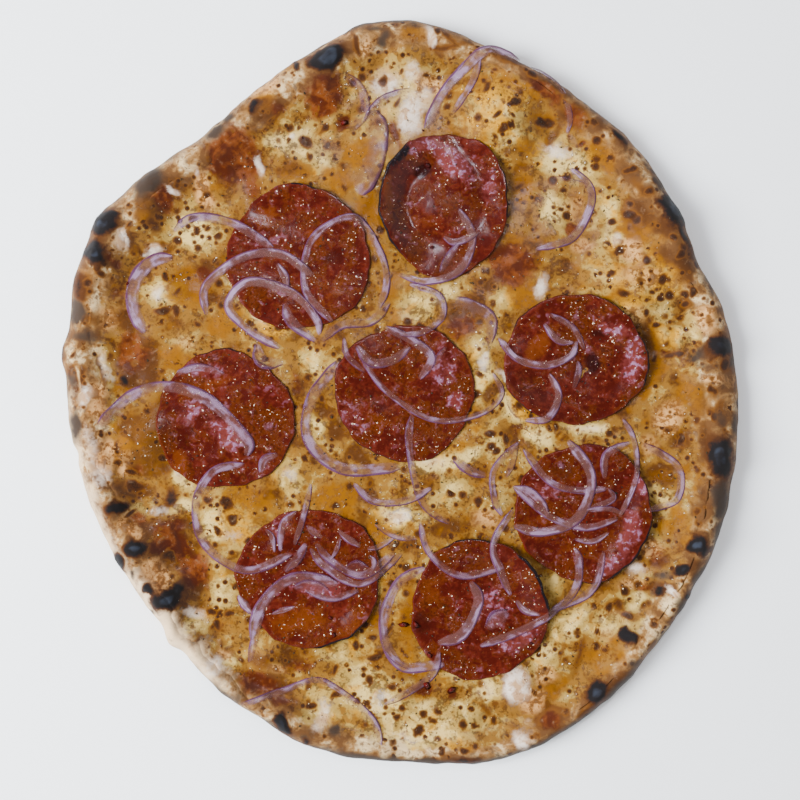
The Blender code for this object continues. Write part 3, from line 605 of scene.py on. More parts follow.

# Deeper brown dough and cheese, and painted shade in folds and on the shaded sides of bubbles:
BROWN: Rows = (
    (-55, 121, 9, 5, 0.9, 30), (-61, 112, 5, 5, 0.6), (-63, 93, 5, 8, 0.4), (-96, 89, 9, 6, 0.7),
    (-106, 79, 9, 7, 0.7), (-82, 55, 6, 6, 0.9), (-80, 42, 7, 5, 0.6), (-100, 28, 8, 4, 0.4),
    (-114, 15, 10, 13, 1.2), (-111, 6, 9, 6, 1.2), (-119, 30, 6, 6, 0.7), (-104, -17, 7, 14, 1.4, -5),
    (-106, -31, 7, 5), (-114, -42, 9, 4, 0.8, -10), (-108, -57, 8, 5, 0.8), (-98, -58, 9, 6, 0.9),
    (-95, -68, 12, 8, 1, -30), (-87, -81, 7, 9, 1, -20), (-85, -92, 4, 4, 0.5), (-60, -116, 9, 4, 0.8, -10),
    (-57, -126, 10, 6, 0.9), (-45, -134, 9, 5, 0.7), (-48, -113, 9, 4, 0.7), (-33, -118, 8, 4, 0.2),
    (-24, -140, 12, 8, 0.15), (12, -128, 9, 5, 0.7), (38, -138, 4, 6, 0.7, -60), (77, -112, 3, 10, 0.6, -5),
    (66, -140, 9, 5, 0.9, 20), (82, -134, 10, 4, 0.9, 40), (93, -124, 8, 4, 0.9, 45), (110, -72, 7, 5, 0.6),
    (111, -83, 7, 5, 0.8), (131, -22, 4, 9), (113, -35, 8, 5, 0.9, -20), (129, -46, 5, 9, 0.7),
    (107, 25, 4, 11, 0.8, 30), (118, -20, 4, 4, 0.5), (137, -10, 3, 7, 0.9), (139, 12, 6, 3),
    (122, 38, 5, 4, 0.9), (103, 77, 10, 5, 1, -45), (99, 94, 6, 3, 0.8, -45), (62, 131, 14, 3, 1.1, -28),
    (73, 119, 7, 4, 1, -45), (48, 142, 11, 2.6, 0.9, -15), (83, 114, 6, 4, 0.7, -30), (27, 33, 11, 8),
    (36, 46, 5, 5, 0.9), (-13, 44, 5, 10, 0.6), (-33, -9, 7, 4, 0.9), (-27, -17, 4, 6, 0.9),
    (-43, 6, 4, 10, 0.7), (-18, -28, 8, 3, 0.9, -20), (-15, -46, 6, 4, 0.6), (48, -19, 7, 6, 0.8),
    (21, -58, 10, 4, 0.8), (93, -17, 3, 2), (40, 0, 4, 5, 0.9), (-112, -16, 9, 8, 1.3),
    (-112, -30, 9, 6, 0.9), (-15, -55, 8, 5, 0.5), (-47, 96, 9, 4, 0.6), (-45, -116, 8, 3, 0.8, -15),
    (66, 110, 2, 7, 0.8, -15), (54, 97, 6, 1.6, 0.7, 25), (24, -158, 10, 3, 0.9), (125, -72, 4, 5, 0.8),
    (-25, 27, 10, 5, 0.4), (35, -33, 6, 4, 0.6), (56, 66, 8, 7, 0.5), (-104, 58, 6, 6, 0.5),
    (-50, 112, 3, 3, 0.3), (8, -66, 8, 6, 0.5), (-56, -44, 6, 4, 0.6), (115, 58, 8, 4, 0.8, -30),
    (121, 54, 4, 12, 1, 28), (112, 70, 8, 3.6, 0.9, -50), (121, -20, 4, 4, 0.9), (112, -38, 6, 4, 0.9, -30))

# Saturated orange and yellow, where fat has run:
GOLD: Rows = (
    (44, 127, 17, 9, 1.1, -15), (57, 127, 10, 7, 0.8), (57, 105, 9, 6, 0.8), (53, 88, 5, 9, 1.1),
    (87, 102, 11, 6, 1.1, -40), (76, 118, 6, 5, 0.9), (112, 50, 14, 9, 1, -35), (103, 70, 12, 7, 1, -40),
    (90, 56, 9, 8, 0.7), (112, 24, 8, 7, 0.7), (121, 66, 5, 9, 0.7, 30), (53, 42, 6.5, 7, 1.3),
    (48, 64, 5, 5, 0.9), (-12, 76, 5, 14, 1.1, 10), (-18, 104, 7, 9), (-26, 92, 9, 5, 0.8),
    (-76, 94, 7, 6, 0.6), (-47, 139, 6, 4, 0.9, 40), (-60, 125, 8, 5, 1.1, 35), (-92, 46, 10, 9, 1.6),
    (-107, 76, 7, 5, 0.9), (-97, 15, 11, 7, 0.9), (-75, 30, 9, 7, 1.1), (-55, 26, 8, 4, 1.1, -35),
    (-3, 41, 6, 11, 0.8), (-66, -45, 13, 6), (-69, -56, 13, 11, 0.8), (-27, -44, 9, 9, 1.2),
    (-9, -62, 6, 9, 0.9), (-13, -99, 7, 7, 0.9), (-20, -110, 2, 7, 0.8, 10), (3, -100, 4, 15),
    (5, -119, 8, 3.4), (28, -151, 10, 3, 0.8), (58, -66, 5, 8), (53, -7, 4, 8, 1.1, 35),
    (25, -22, 9, 4, 1, 30), (111, 12, 7, 8), (105, 2, 5, 5, 1.1), (125, -3, 9, 8, 0.8),
    (127, -32, 5, 6, 0.7), (112, -36, 6, 4, 0.8), (120, -56, 9, 7, 0.8), (89, -113, 10, 8, 0.7),
    (62, -130, 10, 8, 0.7, 20), (-112, -22, 14, 13, 0.9), (-119, 4, 5, 7, 0.7), (5, 153, 7, 4),
    (-45, 93, 9, 4, 0.5), (33, -9, 3, 6, 0.8), (98, 42, 13, 10, 0.8), (36, 112, 13, 8, 0.9),
    (104, -52, 5, 9, 0.7), (-80, -96, 6, 6, 0.6), (-118, -46, 6, 5, 0.6), (60, 117, 8, 5, 0.7))

# Orange and pink lights of the dough:
PEACH: Rows = (
    (13, 132, 8, 7, 0.9), (99, 61, 7, 7), (75, 80, 9, 9, 0.6), (107, 49, 7, 5, 0.8), (79, 63, 8, 4, 0.8),
    (-84, 86, 5, 12, 1, 15), (-126, -28, 6, 10, 1.1), (-128, -8, 4, 8, 0.9), (-125, 31, 4, 6, 0.8),
    (-116, -28, 5, 4, 0.6), (-128, 1, 4, 6, 0.9), (-103, -77, 5.5, 8, 1.2, 15), (-114, -57, 6, 4, 1.1, -40),
    (-75, -112, 5, 5, 0.9), (57, -134, 8, 8), (63, -122, 6, 7, 0.8), (115, -11, 9, 9, 0.9),
    (108, -22, 5, 7, 0.7), (108, -67, 7, 5), (100, -82, 9, 4, 0.8), (95, -95, 9, 4, 0.6),
    (37, -55, 9, 6, 0.8), (96, 32, 13, 8, 0.8), (100, 50, 10, 9, 0.7), (37, 112, 12, 5, 0.4),
    (131, 31, 5, 8, 0.9), (134, 5, 6, 4), (-52, -119, 6, 4, 0.8), (-58, 131, 11, 5, 0.8, 38),
    (-26, 152, 9, 3, 0.8, 20), (-14, 147, 5, 7, 0.9), (-92, 22, 9, 4, 0.6), (-122, 38, 5, 7, 0.5),
    (-118, -33, 4, 5, 0.9), (88, -103, 7, 4, 0.5), (-90, 107, 10, 3, 0.6, 38), (-124, -66, 3, 8, 0.6, 25))

# Amber oil:
OIL: Rows = (
    (-93, 46, 9, 8, 1.1), (-12, 80, 3, 10, 0.7), (53, 88, 3.6, 5, 0.6), (-60, 24, 5, 3, 0.6, -40),
    (3, -98, 3.4, 10, 0.8), (3, -122, 7.5, 2.6, 0.9), (12, -131, 4.4, 4, 0.6), (104, 3, 3.4, 3.6, 0.7),
    (-14, 48, 5, 8, 0.4), (24, 38, 8, 4, 0.4), (112, -36, 5, 3, 0.8))

# Large toasted spots of the cheese:
SPOTS: Rows = (
    (-40, 108, 3.4, 2.8), (-30, 106, 2, 2), (-33, 113, 1.8, 1.6), (-48, 108, 1.8, 1.4, 0.9),
    (-101, 51, 2.2, 3.2), (-88.5, 70, 2, 1.8), (-83, 71, 1.8, 1.6, 0.9), (-87, 63, 2, 1.6, 0.9),
    (-79, 58, 2, 1.8, 0.8), (-103, 35, 4.4, 1.8, 0.9), (-97.5, 34, 2.2, 3.2, 0.9), (-87, 30, 2, 1.8, 0.9),
    (62, 116, 4.8, 2.2, 1, 10), (45, 112, 2.4, 1.7), (36.5, 133, 1.8, 1.6), (48, 122, 2, 1.8),
    (42, 119, 1.4, 1.3), (22, 116, 1.6, 1.5, 0.9), (57, 136, 2.8, 2), (91, 75, 2, 1.8),
    (99, 76, 3, 2, 1, -30), (102, 74, 2, 2), (104, 57, 2, 1.8), (94, 60, 2.4, 1.8), (113, 47.5, 2.2, 1.8),
    (95, 43, 2.6, 1.8, 0.9), (105, 40, 1.6, 1.4, 0.9), (106, 34, 1.8, 1.4, 0.9), (111, 29, 2, 1.6),
    (113, 40, 1.6, 1.6), (119, 59, 2.4, 1.8, 1, -40), (115, 66, 2.2, 1.6, 1, -40),
    (124, 44, 1.8, 2.8, 1, 20), (122, 38, 2.4, 1.8), (120, 17, 1.8, 1.6), (99.5, 95, 3, 1.6, 1, 15),
    (106, 87, 2.6, 2), (99.5, 81, 1.8, 2), (137.6, 12, 3.4, 2, 1, -5), (121.6, -20, 1.6, 3),
    (134.8, -10, 1.6, 3.4, 0.9), (-82, -45, 2.2, 2, 0.9), (-75, -48, 3, 2.4), (-73, -54, 2.4, 2),
    (-79, -59.5, 1.8, 1.4), (-66, -63, 2, 1.8), (-71, -69, 1.6, 1.4, 0.9), (-81, -95, 2.8, 2.2),
    (-78, -101, 2.6, 2), (-74, -95, 1.8, 1.8), (-12, -106, 1.8, 1.4), (-10.5, -114, 2.8, 2.2),
    (-18, -109, 1.4, 1.3), (-29, -120, 2.2, 1.6, 0.9), (-14, -123, 2.2, 2, 0.9), (-38, -135, 2, 2),
    (-28, -131, 2, 1.6, 0.9), (-2, -126, 3.6, 1.3, 0.9, 20), (-18, -132, 1.8, 1.4), (-2, -141, 2.4, 1.4),
    (8, -145, 2.8, 1.8), (2, -137, 1.8, 1.4), (14, -142, 1.6, 1.4), (28, -142, 2.8, 2), (31, -136, 1.6, 1.4),
    (41, -141, 1.6, 1.4, 0.9), (27, -153, 2, 1.4, 0.9), (32, -151, 1.4, 1.4, 0.9), (18, -154, 1.6, 1.4, 0.9),
    (91, -93, 2, 1.8), (98, -95, 2.4, 1.8), (85, -102, 1.8, 1.6), (88, -111, 1.8, 1.8, 0.9),
    (121, 17, 1.6, 1.6), (-115, -34, 2.4, 1.8), (-113, -40, 4.4, 2.6, 0.9), (45, -20, 2.2, 2.4),
    (39, -17, 2.4, 2), (41, -25, 1.8, 1.8, 0.9), (68, -25, 1.6, 1.6), (-26, 0, 2, 2.6, 0.9),
    (-30, -11, 2, 2, 0.8))

# Smoke and painted shade along the outline: bearing, half width in degrees, depth inside it, strength.
EDGE_SMOKE_AND_SHADE: Rows = (
    (-30, 26, 7, 1), (-60, 18, 6, 1.1), (12, 12, 5, 0.5), (-88, 16, 6.5, 1.2), (-118, 10, 5, 0.9),
    (33, 14, 6, 0.7), (56, 8, 3.5, 0.7), (95, 12, 4, 0.9), (142, 26, 4, 0.6), (170, 12, 5, 0.8),
    (-148, 16, 2.5, 0.4))

# Thick flour or bare white dough along the outline, in the same way.
EDGE_FLOUR: Rows = (
    (-150, 20, 11, 0.8), (-168, 9, 8, 0.8), (128, 14, 9, 0.3), (-134, 9, 14, 1.4))


class Painting:
    """Layers of soft, ragged patches over the pie.

    A patch has its full strength within a core and is gone a little beyond its size.  The places at which it
    is worked out are pushed about by noise first, so that its edge comes out ragged.
    """

    PUSH_LENGTH = 7.0
    PUSH_SEED_STEP = 5
    FADE = 1.45
    ROOM = 1.7
    MARGIN = 5.0

    def __init__(self, seed: int, push: float = 1.7) -> None:
        """Start with empty layers.

        Args:
            seed: Which noise pushes the edges about.
            push: How far it pushes them, in millimetres.
        """
        x, y = Field.places()
        self.x = x + push * rough_noise(x, y, self.PUSH_LENGTH, seed)
        self.y = y + push * rough_noise(x, y, self.PUSH_LENGTH, seed + self.PUSH_SEED_STEP)
        self.layers = {layer: Field() for layer in Layer}

    def patches(self, layer: Layer, rows: Sequence[Row], core: float = 0.4) -> None:
        """Paint patches.

        Args:
            layer: The layer that gets them.
            rows: The patches, without what is as in PATCH_DEFAULTS at the end of each.
            core: The share of each patch's size within which it has its full strength.
        """
        values = self.layers[layer].values
        for row in rows:
            x, y, length, breadth, strength, turn = (*row, *PATCH_DEFAULTS[len(row) - 4:])
            window = Field.window(x, y, self.ROOM * max(length, breadth) + self.MARGIN)
            distance = np.hypot(*in_oval(self.x[window] - x, self.y[window] - y, length, breadth, turn))
            value = strength * (1.0 - ease((distance - core) / (self.FADE - core)))
            values[window] = np.maximum(values[window], value)

    def along_edge(self, layer: Layer, pie: PieShape, rows: Sequence[Row]) -> None:
        """Paint bands along the outline, each as (bearing, half width in degrees, depth, strength).

        Args:
            layer: The layer that gets them.
            pie: The pie whose outline they follow.
            rows: The bands.
        """
        values = self.layers[layer].values
        angle = np.arctan2(self.y, self.x) % FULL_TURN
        inside = pie.outline(angle) - np.hypot(self.x, self.y)
        for bearing, half_width, depth, strength in rows:
            band = bell(apart(np.degrees(angle), bearing) / half_width) ** 0.5
            np.maximum(values, strength * band * (1.0 - ease(inside / depth)), out=values)

    def read(self, layers: Sequence[Layer], points: Array) -> dict[str, Array]:
        """The chosen layers at some points, by attribute name."""
        return {layer.value: self.layers[layer].read(points[:, 0], points[:, 1]) for layer in layers}


SLICE_LAYERS = (Layer.PINK, Layer.AMBER, Layer.DEEP)
PIE_LAYERS = tuple(layer for layer in Layer if layer not in SLICE_LAYERS)


@dataclass(frozen=True)
class ToastedSpots:
    """Small toasted spots scattered over the cheese at random, closer together where noise says so."""

    tries: int = 1250
    margin: float = 7.0
    smallest: float = 0.6
    largest: float = 2.3
    scarcity: float = 3.0
    stretch: tuple[float, float] = (0.65, 1.5)
    weakest: float = 0.55
    crowd_length: float = 26.0
    cluster_length: float = 9.0
    cluster_weight: float = 0.8
    sauce_weight: float = 0.7
    luck: float = 0.9
    level: float = 0.15
    avoidance: float = 1.6

    def rows(self, pie: PieShape, painting: Painting) -> list[Row]:
        """Patches for the spots.

        Args:
            pie: The pie on which they lie.
            painting: What is painted already; white cheese and sauce get few spots.

        Returns:
            One patch a spot.
        """
        random = np.random.default_rng(Seed.SPOTS)
        x, y = pie.scatter(random, self.tries, self.margin)
        chance = random.uniform(0.0, 1.0, self.tries) ** self.scarcity
        sizes = self.smallest + (self.largest - self.smallest) * chance
        shapes = random.uniform(*self.stretch, self.tries)
        turns = random.uniform(0.0, 180.0, self.tries)
        strengths = random.uniform(self.weakest, 1.0, self.tries)
        crowd = (rough_noise(x, y, self.crowd_length, Seed.SPOT_CROWDS)
                 + self.cluster_weight * rough_noise(x, y, self.cluster_length, Seed.SPOT_CLUSTERS))
        milk, sauce = (painting.layers[layer].read(x, y) for layer in (Layer.MILK, Layer.SAUCE))
        pale = np.maximum(milk, self.sauce_weight * sauce)
        keep = crowd + random.uniform(-self.luck, self.luck, self.tries) > self.level + self.avoidance * pale
        spots = np.column_stack((x, y, sizes * shapes, sizes / shapes, strengths, turns))
        return [tuple(row) for row in spots[keep]]


# -------- materials

def sums(operation: str, swapped: bool = False) -> Callable[["Number", "Number | float"], "Number"]:
    """A method of Number that puts a Math node on it and another; swapped puts the other first.

    Args:
        operation: The node's operation.
        swapped: Whether the other comes first.

    Returns:
        The method.
    """

    def method(this: "Number", other: "Number | float") -> "Number":
        """The node's result."""
        terms = (other, this) if swapped else (this, other)
        node = this.finish.node("ShaderNodeMath", {"operation": operation}, dict(enumerate(terms)))
        return Number(this.finish, node.outputs[0])

    return method


class Number:
    """A number that varies over a surface: a shader socket that takes part in Python sums."""

    __add__ = __radd__ = sums("ADD")
    __mul__ = __rmul__ = sums("MULTIPLY")
    __sub__ = sums("SUBTRACT")
    __rsub__ = sums("SUBTRACT", swapped=True)
    least = sums("MINIMUM")
    most = sums("MAXIMUM")

    def __init__(self, finish: "Finish", socket: Socket) -> None:
        """Wrap a socket of a finish's node tree."""
        self.finish = finish
        self.socket = socket

    def centred(self, weight: float) -> "Number":
        """How far this lies above its middle, 0.5, times a weight."""
        return (self - 0.5) * weight

    def between(self, low: float, high: float) -> "Number":
        """0 up to low, 1 from high on, and eased in between; downwards where high is the smaller."""
        node = self.finish.node("ShaderNodeMapRange", {"interpolation_type": "SMOOTHSTEP"},
                                {0: self, 1: low, 2: high, 3: 0.0, 4: 1.0})
        return Number(self.finish, node.outputs[0])


class Finish:
    """A material being put together round a Principled shader."""

    ROUGHNESS = 0.55
    SHIFT = (1.0, 0.7, 0.3)

    def __init__(self, name: str) -> None:
        """Start a material of that name."""
        self.material = bpy.data.materials.new(name)
        self.material.use_nodes = True
        self.tree = self.material.node_tree
        self.here = self.node("ShaderNodeTexCoord", {}, {}).outputs["Object"]

    def node(self, kind: str, settings: dict[str, object], sockets: Inputs) -> bpy.types.Node:
        """Add a node.

        Args:
            kind: Its type.
            settings: Its properties, which are set first.
            sockets: What its inputs get, by number or name: a value, a Number or another node's socket.

        Returns:
            The node.
        """
        node = self.tree.nodes.new(kind)
        for key, value in settings.items():
            setattr(node, key, value)
        self.feed(node, sockets)
        return node

    def feed(self, node: bpy.types.Node, sockets: Inputs) -> None:
        """Give values or links to a node's inputs.

        Args:
            node: The node.
            sockets: Values, Numbers or sockets, by number or name.
        """
        for key, value in sockets.items():
            source = value.socket if isinstance(value, Number) else value
            if isinstance(source, Socket):
                self.tree.links.new(source, node.inputs[key])
            elif isinstance(source, tuple) and len(source) == 3 and node.inputs[key].type == "RGBA":
                node.inputs[key].default_value = (*source, 1.0)
            else:
                node.inputs[key].default_value = source

    def shade(self, colour: object, roughness: "Number | float", relief: "Number | None" = None,
              depth: float = 0.0, **more: object) -> None:
        """Set the shader.

        Args:
            colour: The colour all over.
            roughness: How rough it is.
            relief: A height for fine relief, at which 1 stands depth millimetres above 0.
            depth: That depth.
            more: Other inputs by name, with _ for each space.
        """
        sockets = {"Base Color": colour, "Roughness": roughness}
        sockets |= {name.replace("_", " "): value for name, value in more.items()}
        if relief is not None:
            bump = {"Height": relief, "Distance": depth * MM, "Strength": 1.0}
            sockets["Normal"] = self.node("ShaderNodeBump", {}, bump).outputs[0]
        self.feed(self.tree.nodes["Principled BSDF"], sockets)

    def moved(self, offset: float) -> Socket:
        """Object coordinates, shifted so that two patterns of one kind differ."""
        if not offset:
            return self.here
        shift = tuple(offset * share for share in self.SHIFT)
        return self.node("ShaderNodeMapping", {}, {0: self.here, 1: shift}).outputs[0]

    def noise(self, size: float, detail: float = 2.0, offset: float = 0.0, twist: float = 0.0) -> Number:
        """Cloudy noise from 0 to 1 whose lumps are about size millimetres apart."""
        node = self.node("ShaderNodeTexNoise", {}, {
            "Vector": self.moved(offset), "Scale": 1.0 / (size * MM), "Detail": detail,
            "Roughness": self.ROUGHNESS, "Distortion": twist})
        return Number(self, node.outputs[0])

    def cells(self, size: float, offset: float = 0.0) -> tuple[Number, Number]:
        """Random points about size millimetres apart: the distance to the nearest, and its own number."""
        sockets = {"Vector": self.moved(offset), "Scale": 1.0 / (size * MM)}
        node = self.node("ShaderNodeTexVoronoi", {}, sockets)
        parts = self.node("ShaderNodeSeparateColor", {}, {0: node.outputs["Color"]})
        return Number(self, node.outputs["Distance"]), Number(self, parts.outputs[0])

    def attribute(self, name: str) -> Number:
        """A value that the mesh holds at its points."""
        return Number(self, self.node("ShaderNodeAttribute", {"attribute_name": name}, {}).outputs["Fac"])

    def mix(self, share: Number, first: object, second: object) -> Socket:
        """The first colour where share is 0, and the second where it is 1."""
        return self.node("ShaderNodeMix", {"data_type": "RGBA"}, {0: share, 6: first, 7: second}).outputs[2]

    def coats(self, colour: object, *coats: tuple[Number, object]) -> Socket:
        """A colour with others over it in turn, each as (share, colour)."""
        for share, coat in coats:
            colour = self.mix(share, colour, coat)
        return colour

    def dress(self, piece: Piece) -> None:
        """Put the material on a piece."""
        piece.data.materials.clear()
        piece.data.materials.append(self.material)


def ragged(mask: Number, rag: Number, level: float, softness: float) -> Number:
    """A painted mask cut off at a level, with an edge made ragged by noise."""
    return (mask + rag).between(level - softness, level + softness)


class BakedFinish(Finish):
    """Melted cheese and baked dough, which run into each other, and what oven, sauce and oil did to them."""

    pale = (0.52, 0.352, 0.108)
    butter = (0.28, 0.168, 0.036)
    body = (0.165, 0.072, 0.01)
    deep = (0.074, 0.025, 0.004)
    brown = (0.028, 0.008, 0.0024)
    crust_pale = (0.52, 0.36, 0.18)
    crust_body = (0.205, 0.098, 0.029)
    crust_deep = (0.085, 0.035, 0.0105)
    crust_brown = (0.028, 0.0105, 0.0048)
    # folds is painted shade: dark brown laid in folds and on the shaded sides of bubbles.
    folds = (0.046, 0.015, 0.0036)
    gold = (0.158, 0.054, 0.0004)
    gold_light = (0.5, 0.23, 0.008)
    peach = (0.24, 0.088, 0.02)
    peach_light = (0.58, 0.29, 0.1)
    golden = (0.108, 0.037, 0.004)
    toasted = (0.046, 0.0145, 0.0036)
    spot = (0.019, 0.0076, 0.0038)
    sauce = (0.046, 0.0085, 0.0022)
    sauce_light = (0.115, 0.028, 0.004)
    milk = (0.7, 0.57, 0.47)
    blush = (0.36, 0.19, 0.085)
    oil = (0.092, 0.029, 0.0012)
    # The smoke colour also stands for painted shade along the outer rim.
    smoke = (0.032, 0.0205, 0.014)
    char = (0.0075, 0.006, 0.006)
    # A painted cool sheen on the thickest char.
    char_sheen = (0.026, 0.032, 0.046)
    flour = (0.6, 0.42, 0.245)
    # A painted highlight: pale specks of it stand in for glints on wet fat.
    glint = (0.85, 0.7, 0.48)
    # Random spots: size, offset, and the share of cells that stay bare.
    spot_cells = ((6.2, 0.07, 0.55), (3.3, 0.19, 0.48))
    relief_depth = 0.22

    def __init__(self, name: str) -> None:
        """Put the material together, from the plain surface up to the char.

        Args:
            name: The material's name.
        """
        super().__init__(name)
        self.broad = self.noise(19.0)
        self.mottle = self.noise(7.5, 3.0, 0.11, 0.6)
        self.blotch = self.noise(3.6, 3.0, 0.23, 0.5)
        self.fine = self.noise(1.4, 3.0, 0.31)
        self.tiny = self.noise(0.55, 2.0, 0.41)
        self.rag = self.blotch.centred(0.8) + self.fine.centred(0.5)
        self.on = SimpleNamespace(**{layer.value: self.attribute(layer.value) for layer in PIE_LAYERS})
        self.bare = (self.on.bare + self.rag * 0.9).between(0.2, 0.8)
        self.fatty = self.on.gold.most(self.on.peach)
        self.burn = self.on.char + self.rag * 0.8
        colour = self.plain()
        for step in (self.with_fat, self.with_sauce, self.with_spots, self.with_char):
            colour = step(colour)
        self.wet(colour)

    def plain(self) -> Socket:
        """Cheese from deep to pale, and dry dough where it is bare.

        Returns:
            The colour.
        """
        on, rag, mottle, blotch, fine = self.on, self.rag, self.mottle, self.blotch, self.fine
        calm = 1.0 - self.fatty.least(1.0) * 0.45
        self.cream = (on.cream * 0.98 - on.brown * 0.75 + self.broad.centred(0.8)
                      + (mottle.centred(2.0) + rag * 1.2) * calm - 0.03)
        grains = (fine * 0.55 + blotch * 0.45 - mottle.centred(0.5)).between(0.5, 0.62)
        melted = self.coats(
            self.deep, (self.cream.between(-0.56, -0.12), self.body),
            (self.cream.between(0.0, 0.28), self.butter), (self.cream.between(0.34, 0.86), self.pale),
            (grains * calm * 0.75, self.brown))
        dry = (on.cream * 0.5 - on.brown * 0.7 + self.broad.centred(1.1)
               + (mottle.centred(2.5) + rag * 1.6) * calm + 0.03)
        crust = self.coats(
            self.crust_deep, (dry.between(-0.35, 0.1), self.crust_body),
            (dry.between(0.0, 0.5), self.crust_pale),
            ((blotch * 0.6 + fine * 0.4).between(0.51, 0.64) * 0.8, self.crust_brown))
        return self.mix(self.bare, melted, crust)

    def with_fat(self, colour: Socket) -> Socket:
        """Gold and peach where fat has run, browner grains there, painted shade in folds, and oil.

        Args:
            colour: What lies below.

        Returns:
            The colour with these over it.
        """
        on, rag, mottle, blotch, fine = self.on, self.rag, self.mottle, self.blotch, self.fine
        hue = self.noise(6.0, 2.0, 0.53, 0.4)
        ripe = on.gold * (0.9 - self.bare * 0.25) + (hue - 0.5) * (2.4 - self.bare * 1.6) + rag * 0.5
        gold = self.mix((self.cream + rag * 0.6).between(-0.1, 0.8), self.gold, self.gold_light)
        rosy = on.peach + rag * 0.8 + mottle.centred(0.6)
        peach = self.mix((blotch + fine.centred(0.5)).between(0.36, 0.62), self.peach_light, self.peach)
        scorch = (blotch * 0.5 + fine * 0.5 + mottle.centred(0.4)).between(0.47, 0.58)
        # Painted shade: the brown layer also darkens folds and the shaded sides of bubbles.
        shaded = on.brown + rag * 0.8 + mottle.centred(0.6)
        return self.coats(
            colour, (ripe.between(0.1, 0.75) * 0.95, gold), (rosy.between(0.25, 1.0) * 0.85, peach),
            (scorch * self.fatty.between(0.1, 0.8) * 0.75, self.golden),
            (shaded.between(0.3, 1.0) * 0.88, self.folds),
            (ragged(on.oil, rag * 0.8, 0.45, 0.45) * 0.75, self.oil))

    def with_sauce(self, colour: Socket) -> Socket:
        """Toasted folds, tomato sauce and white cheese.

        Args:
            colour: What lies below.

        Returns:
            The colour with these over it.
        """
        on, rag, mottle, blotch = self.on, self.rag, self.mottle, self.blotch
        toast = on.toast + rag * 0.8
        sauce = self.mix((mottle + blotch.centred(0.5)).between(0.42, 0.66), self.sauce, self.sauce_light)
        milk = self.mix((mottle + blotch.centred(0.8)).between(0.4, 0.66) * 0.9, self.milk, self.blush)
        white = ragged(on.milk, rag * 1.3 + mottle.centred(0.8), 0.6, 0.5)
        return self.coats(
            colour, (toast.between(0.0, 0.6) * 0.85, self.golden), (toast.between(0.4, 1.0), self.toasted),
            (ragged(on.sauce, rag, 0.46, 0.32), sauce), (white * 0.85, milk))

    def with_spots(self, colour: Socket) -> Socket:
        """Toasted spots, those that are painted and two sizes of random ones, golden round a dark middle.

        Args:
            colour: What lies below.

        Returns:
            The colour with these over it.
        """
        on, rag, fine = self.on, self.rag, self.fine
        clean = 1.0 - on.milk.most(on.sauce * 0.7)
        crowd = (self.mottle + self.broad.centred(1.2) + fine.centred(0.5)).between(0.36, 0.52)
        spots = on.spot + rag * 0.5
        for size, offset, share in self.spot_cells:
            distance, pick = self.cells(size, offset)
            disc = (distance + rag * 0.3).between(0.56, 0.0) * pick.between(share, share + 0.1)
            spots = spots.most(disc * crowd * clean * (0.7 + pick * 0.35))
        return self.coats(
            colour, (spots.between(0.08, 0.42) * 0.9, self.golden), (spots.between(0.3, 0.64), self.toasted),
            (spots.between(0.58, 0.9) * self.tiny.between(0.25, 0.6), self.spot))

    def with_char(self, colour: Socket) -> Socket:
        """Flour, smoke with painted shade, and char with a painted cool sheen where it is thickest.

        Args:
            colour: What lies below.

        Returns:
            The colour with these over it.
        """
        on, mottle = self.on, self.mottle
        # Smoke, and painted shade where the rim's edge lies away from the light.
        smoke = (on.smoke + self.rag * 0.6 + mottle.centred(0.5)).between(0.1, 1.0)
        # Painted sheen: a cool highlight over the thickest char.
        thick = mottle.between(0.36, 0.66) * on.char.between(0.95, 1.1)
        self.black = self.burn.between(0.34, 0.75)
        charred = self.mix(thick * 0.7, self.char, self.char_sheen)
        return self.coats(
            colour, (ragged(on.flour, self.rag, 0.5, 0.45) * 0.9, self.flour), (smoke, self.smoke),
            (self.burn.between(0.0, 0.5), self.toasted), (self.black, charred))

    def wet(self, colour: Socket) -> None:
        """Painted glints and beads of fat on what is neither bare nor burnt, the fine relief and the shine.

        Args:
            colour: The colour when dry.
        """
        blotch, fine, tiny = self.blotch, self.fine, self.tiny
        wet = (1.0 - self.bare) * (1.0 - self.black)
        pools = (self.broad * 0.5 + self.mottle * 0.7).between(0.54, 0.68)
        bead = (fine + blotch.centred(0.4)).between(0.56, 0.68) * pools * wet
        # Painted glints: pale specks laid into the colour where the surface is wet.
        painted_glints = (tiny * 0.3 + fine * 0.7 + pools * 0.05).between(0.692, 0.722)
        colour = self.mix(painted_glints * wet, colour, self.glint)
        height = fine * 0.2 + tiny * 0.06 + blotch * 0.4 + bead * 0.8
        roughness = 0.66 - wet * 0.34 - self.on.oil * wet * 0.1 + fine.centred(0.15) - bead * 0.2
        self.shade(colour, roughness.most(0.12), height, self.relief_depth, Specular_IOR_Level=0.2)


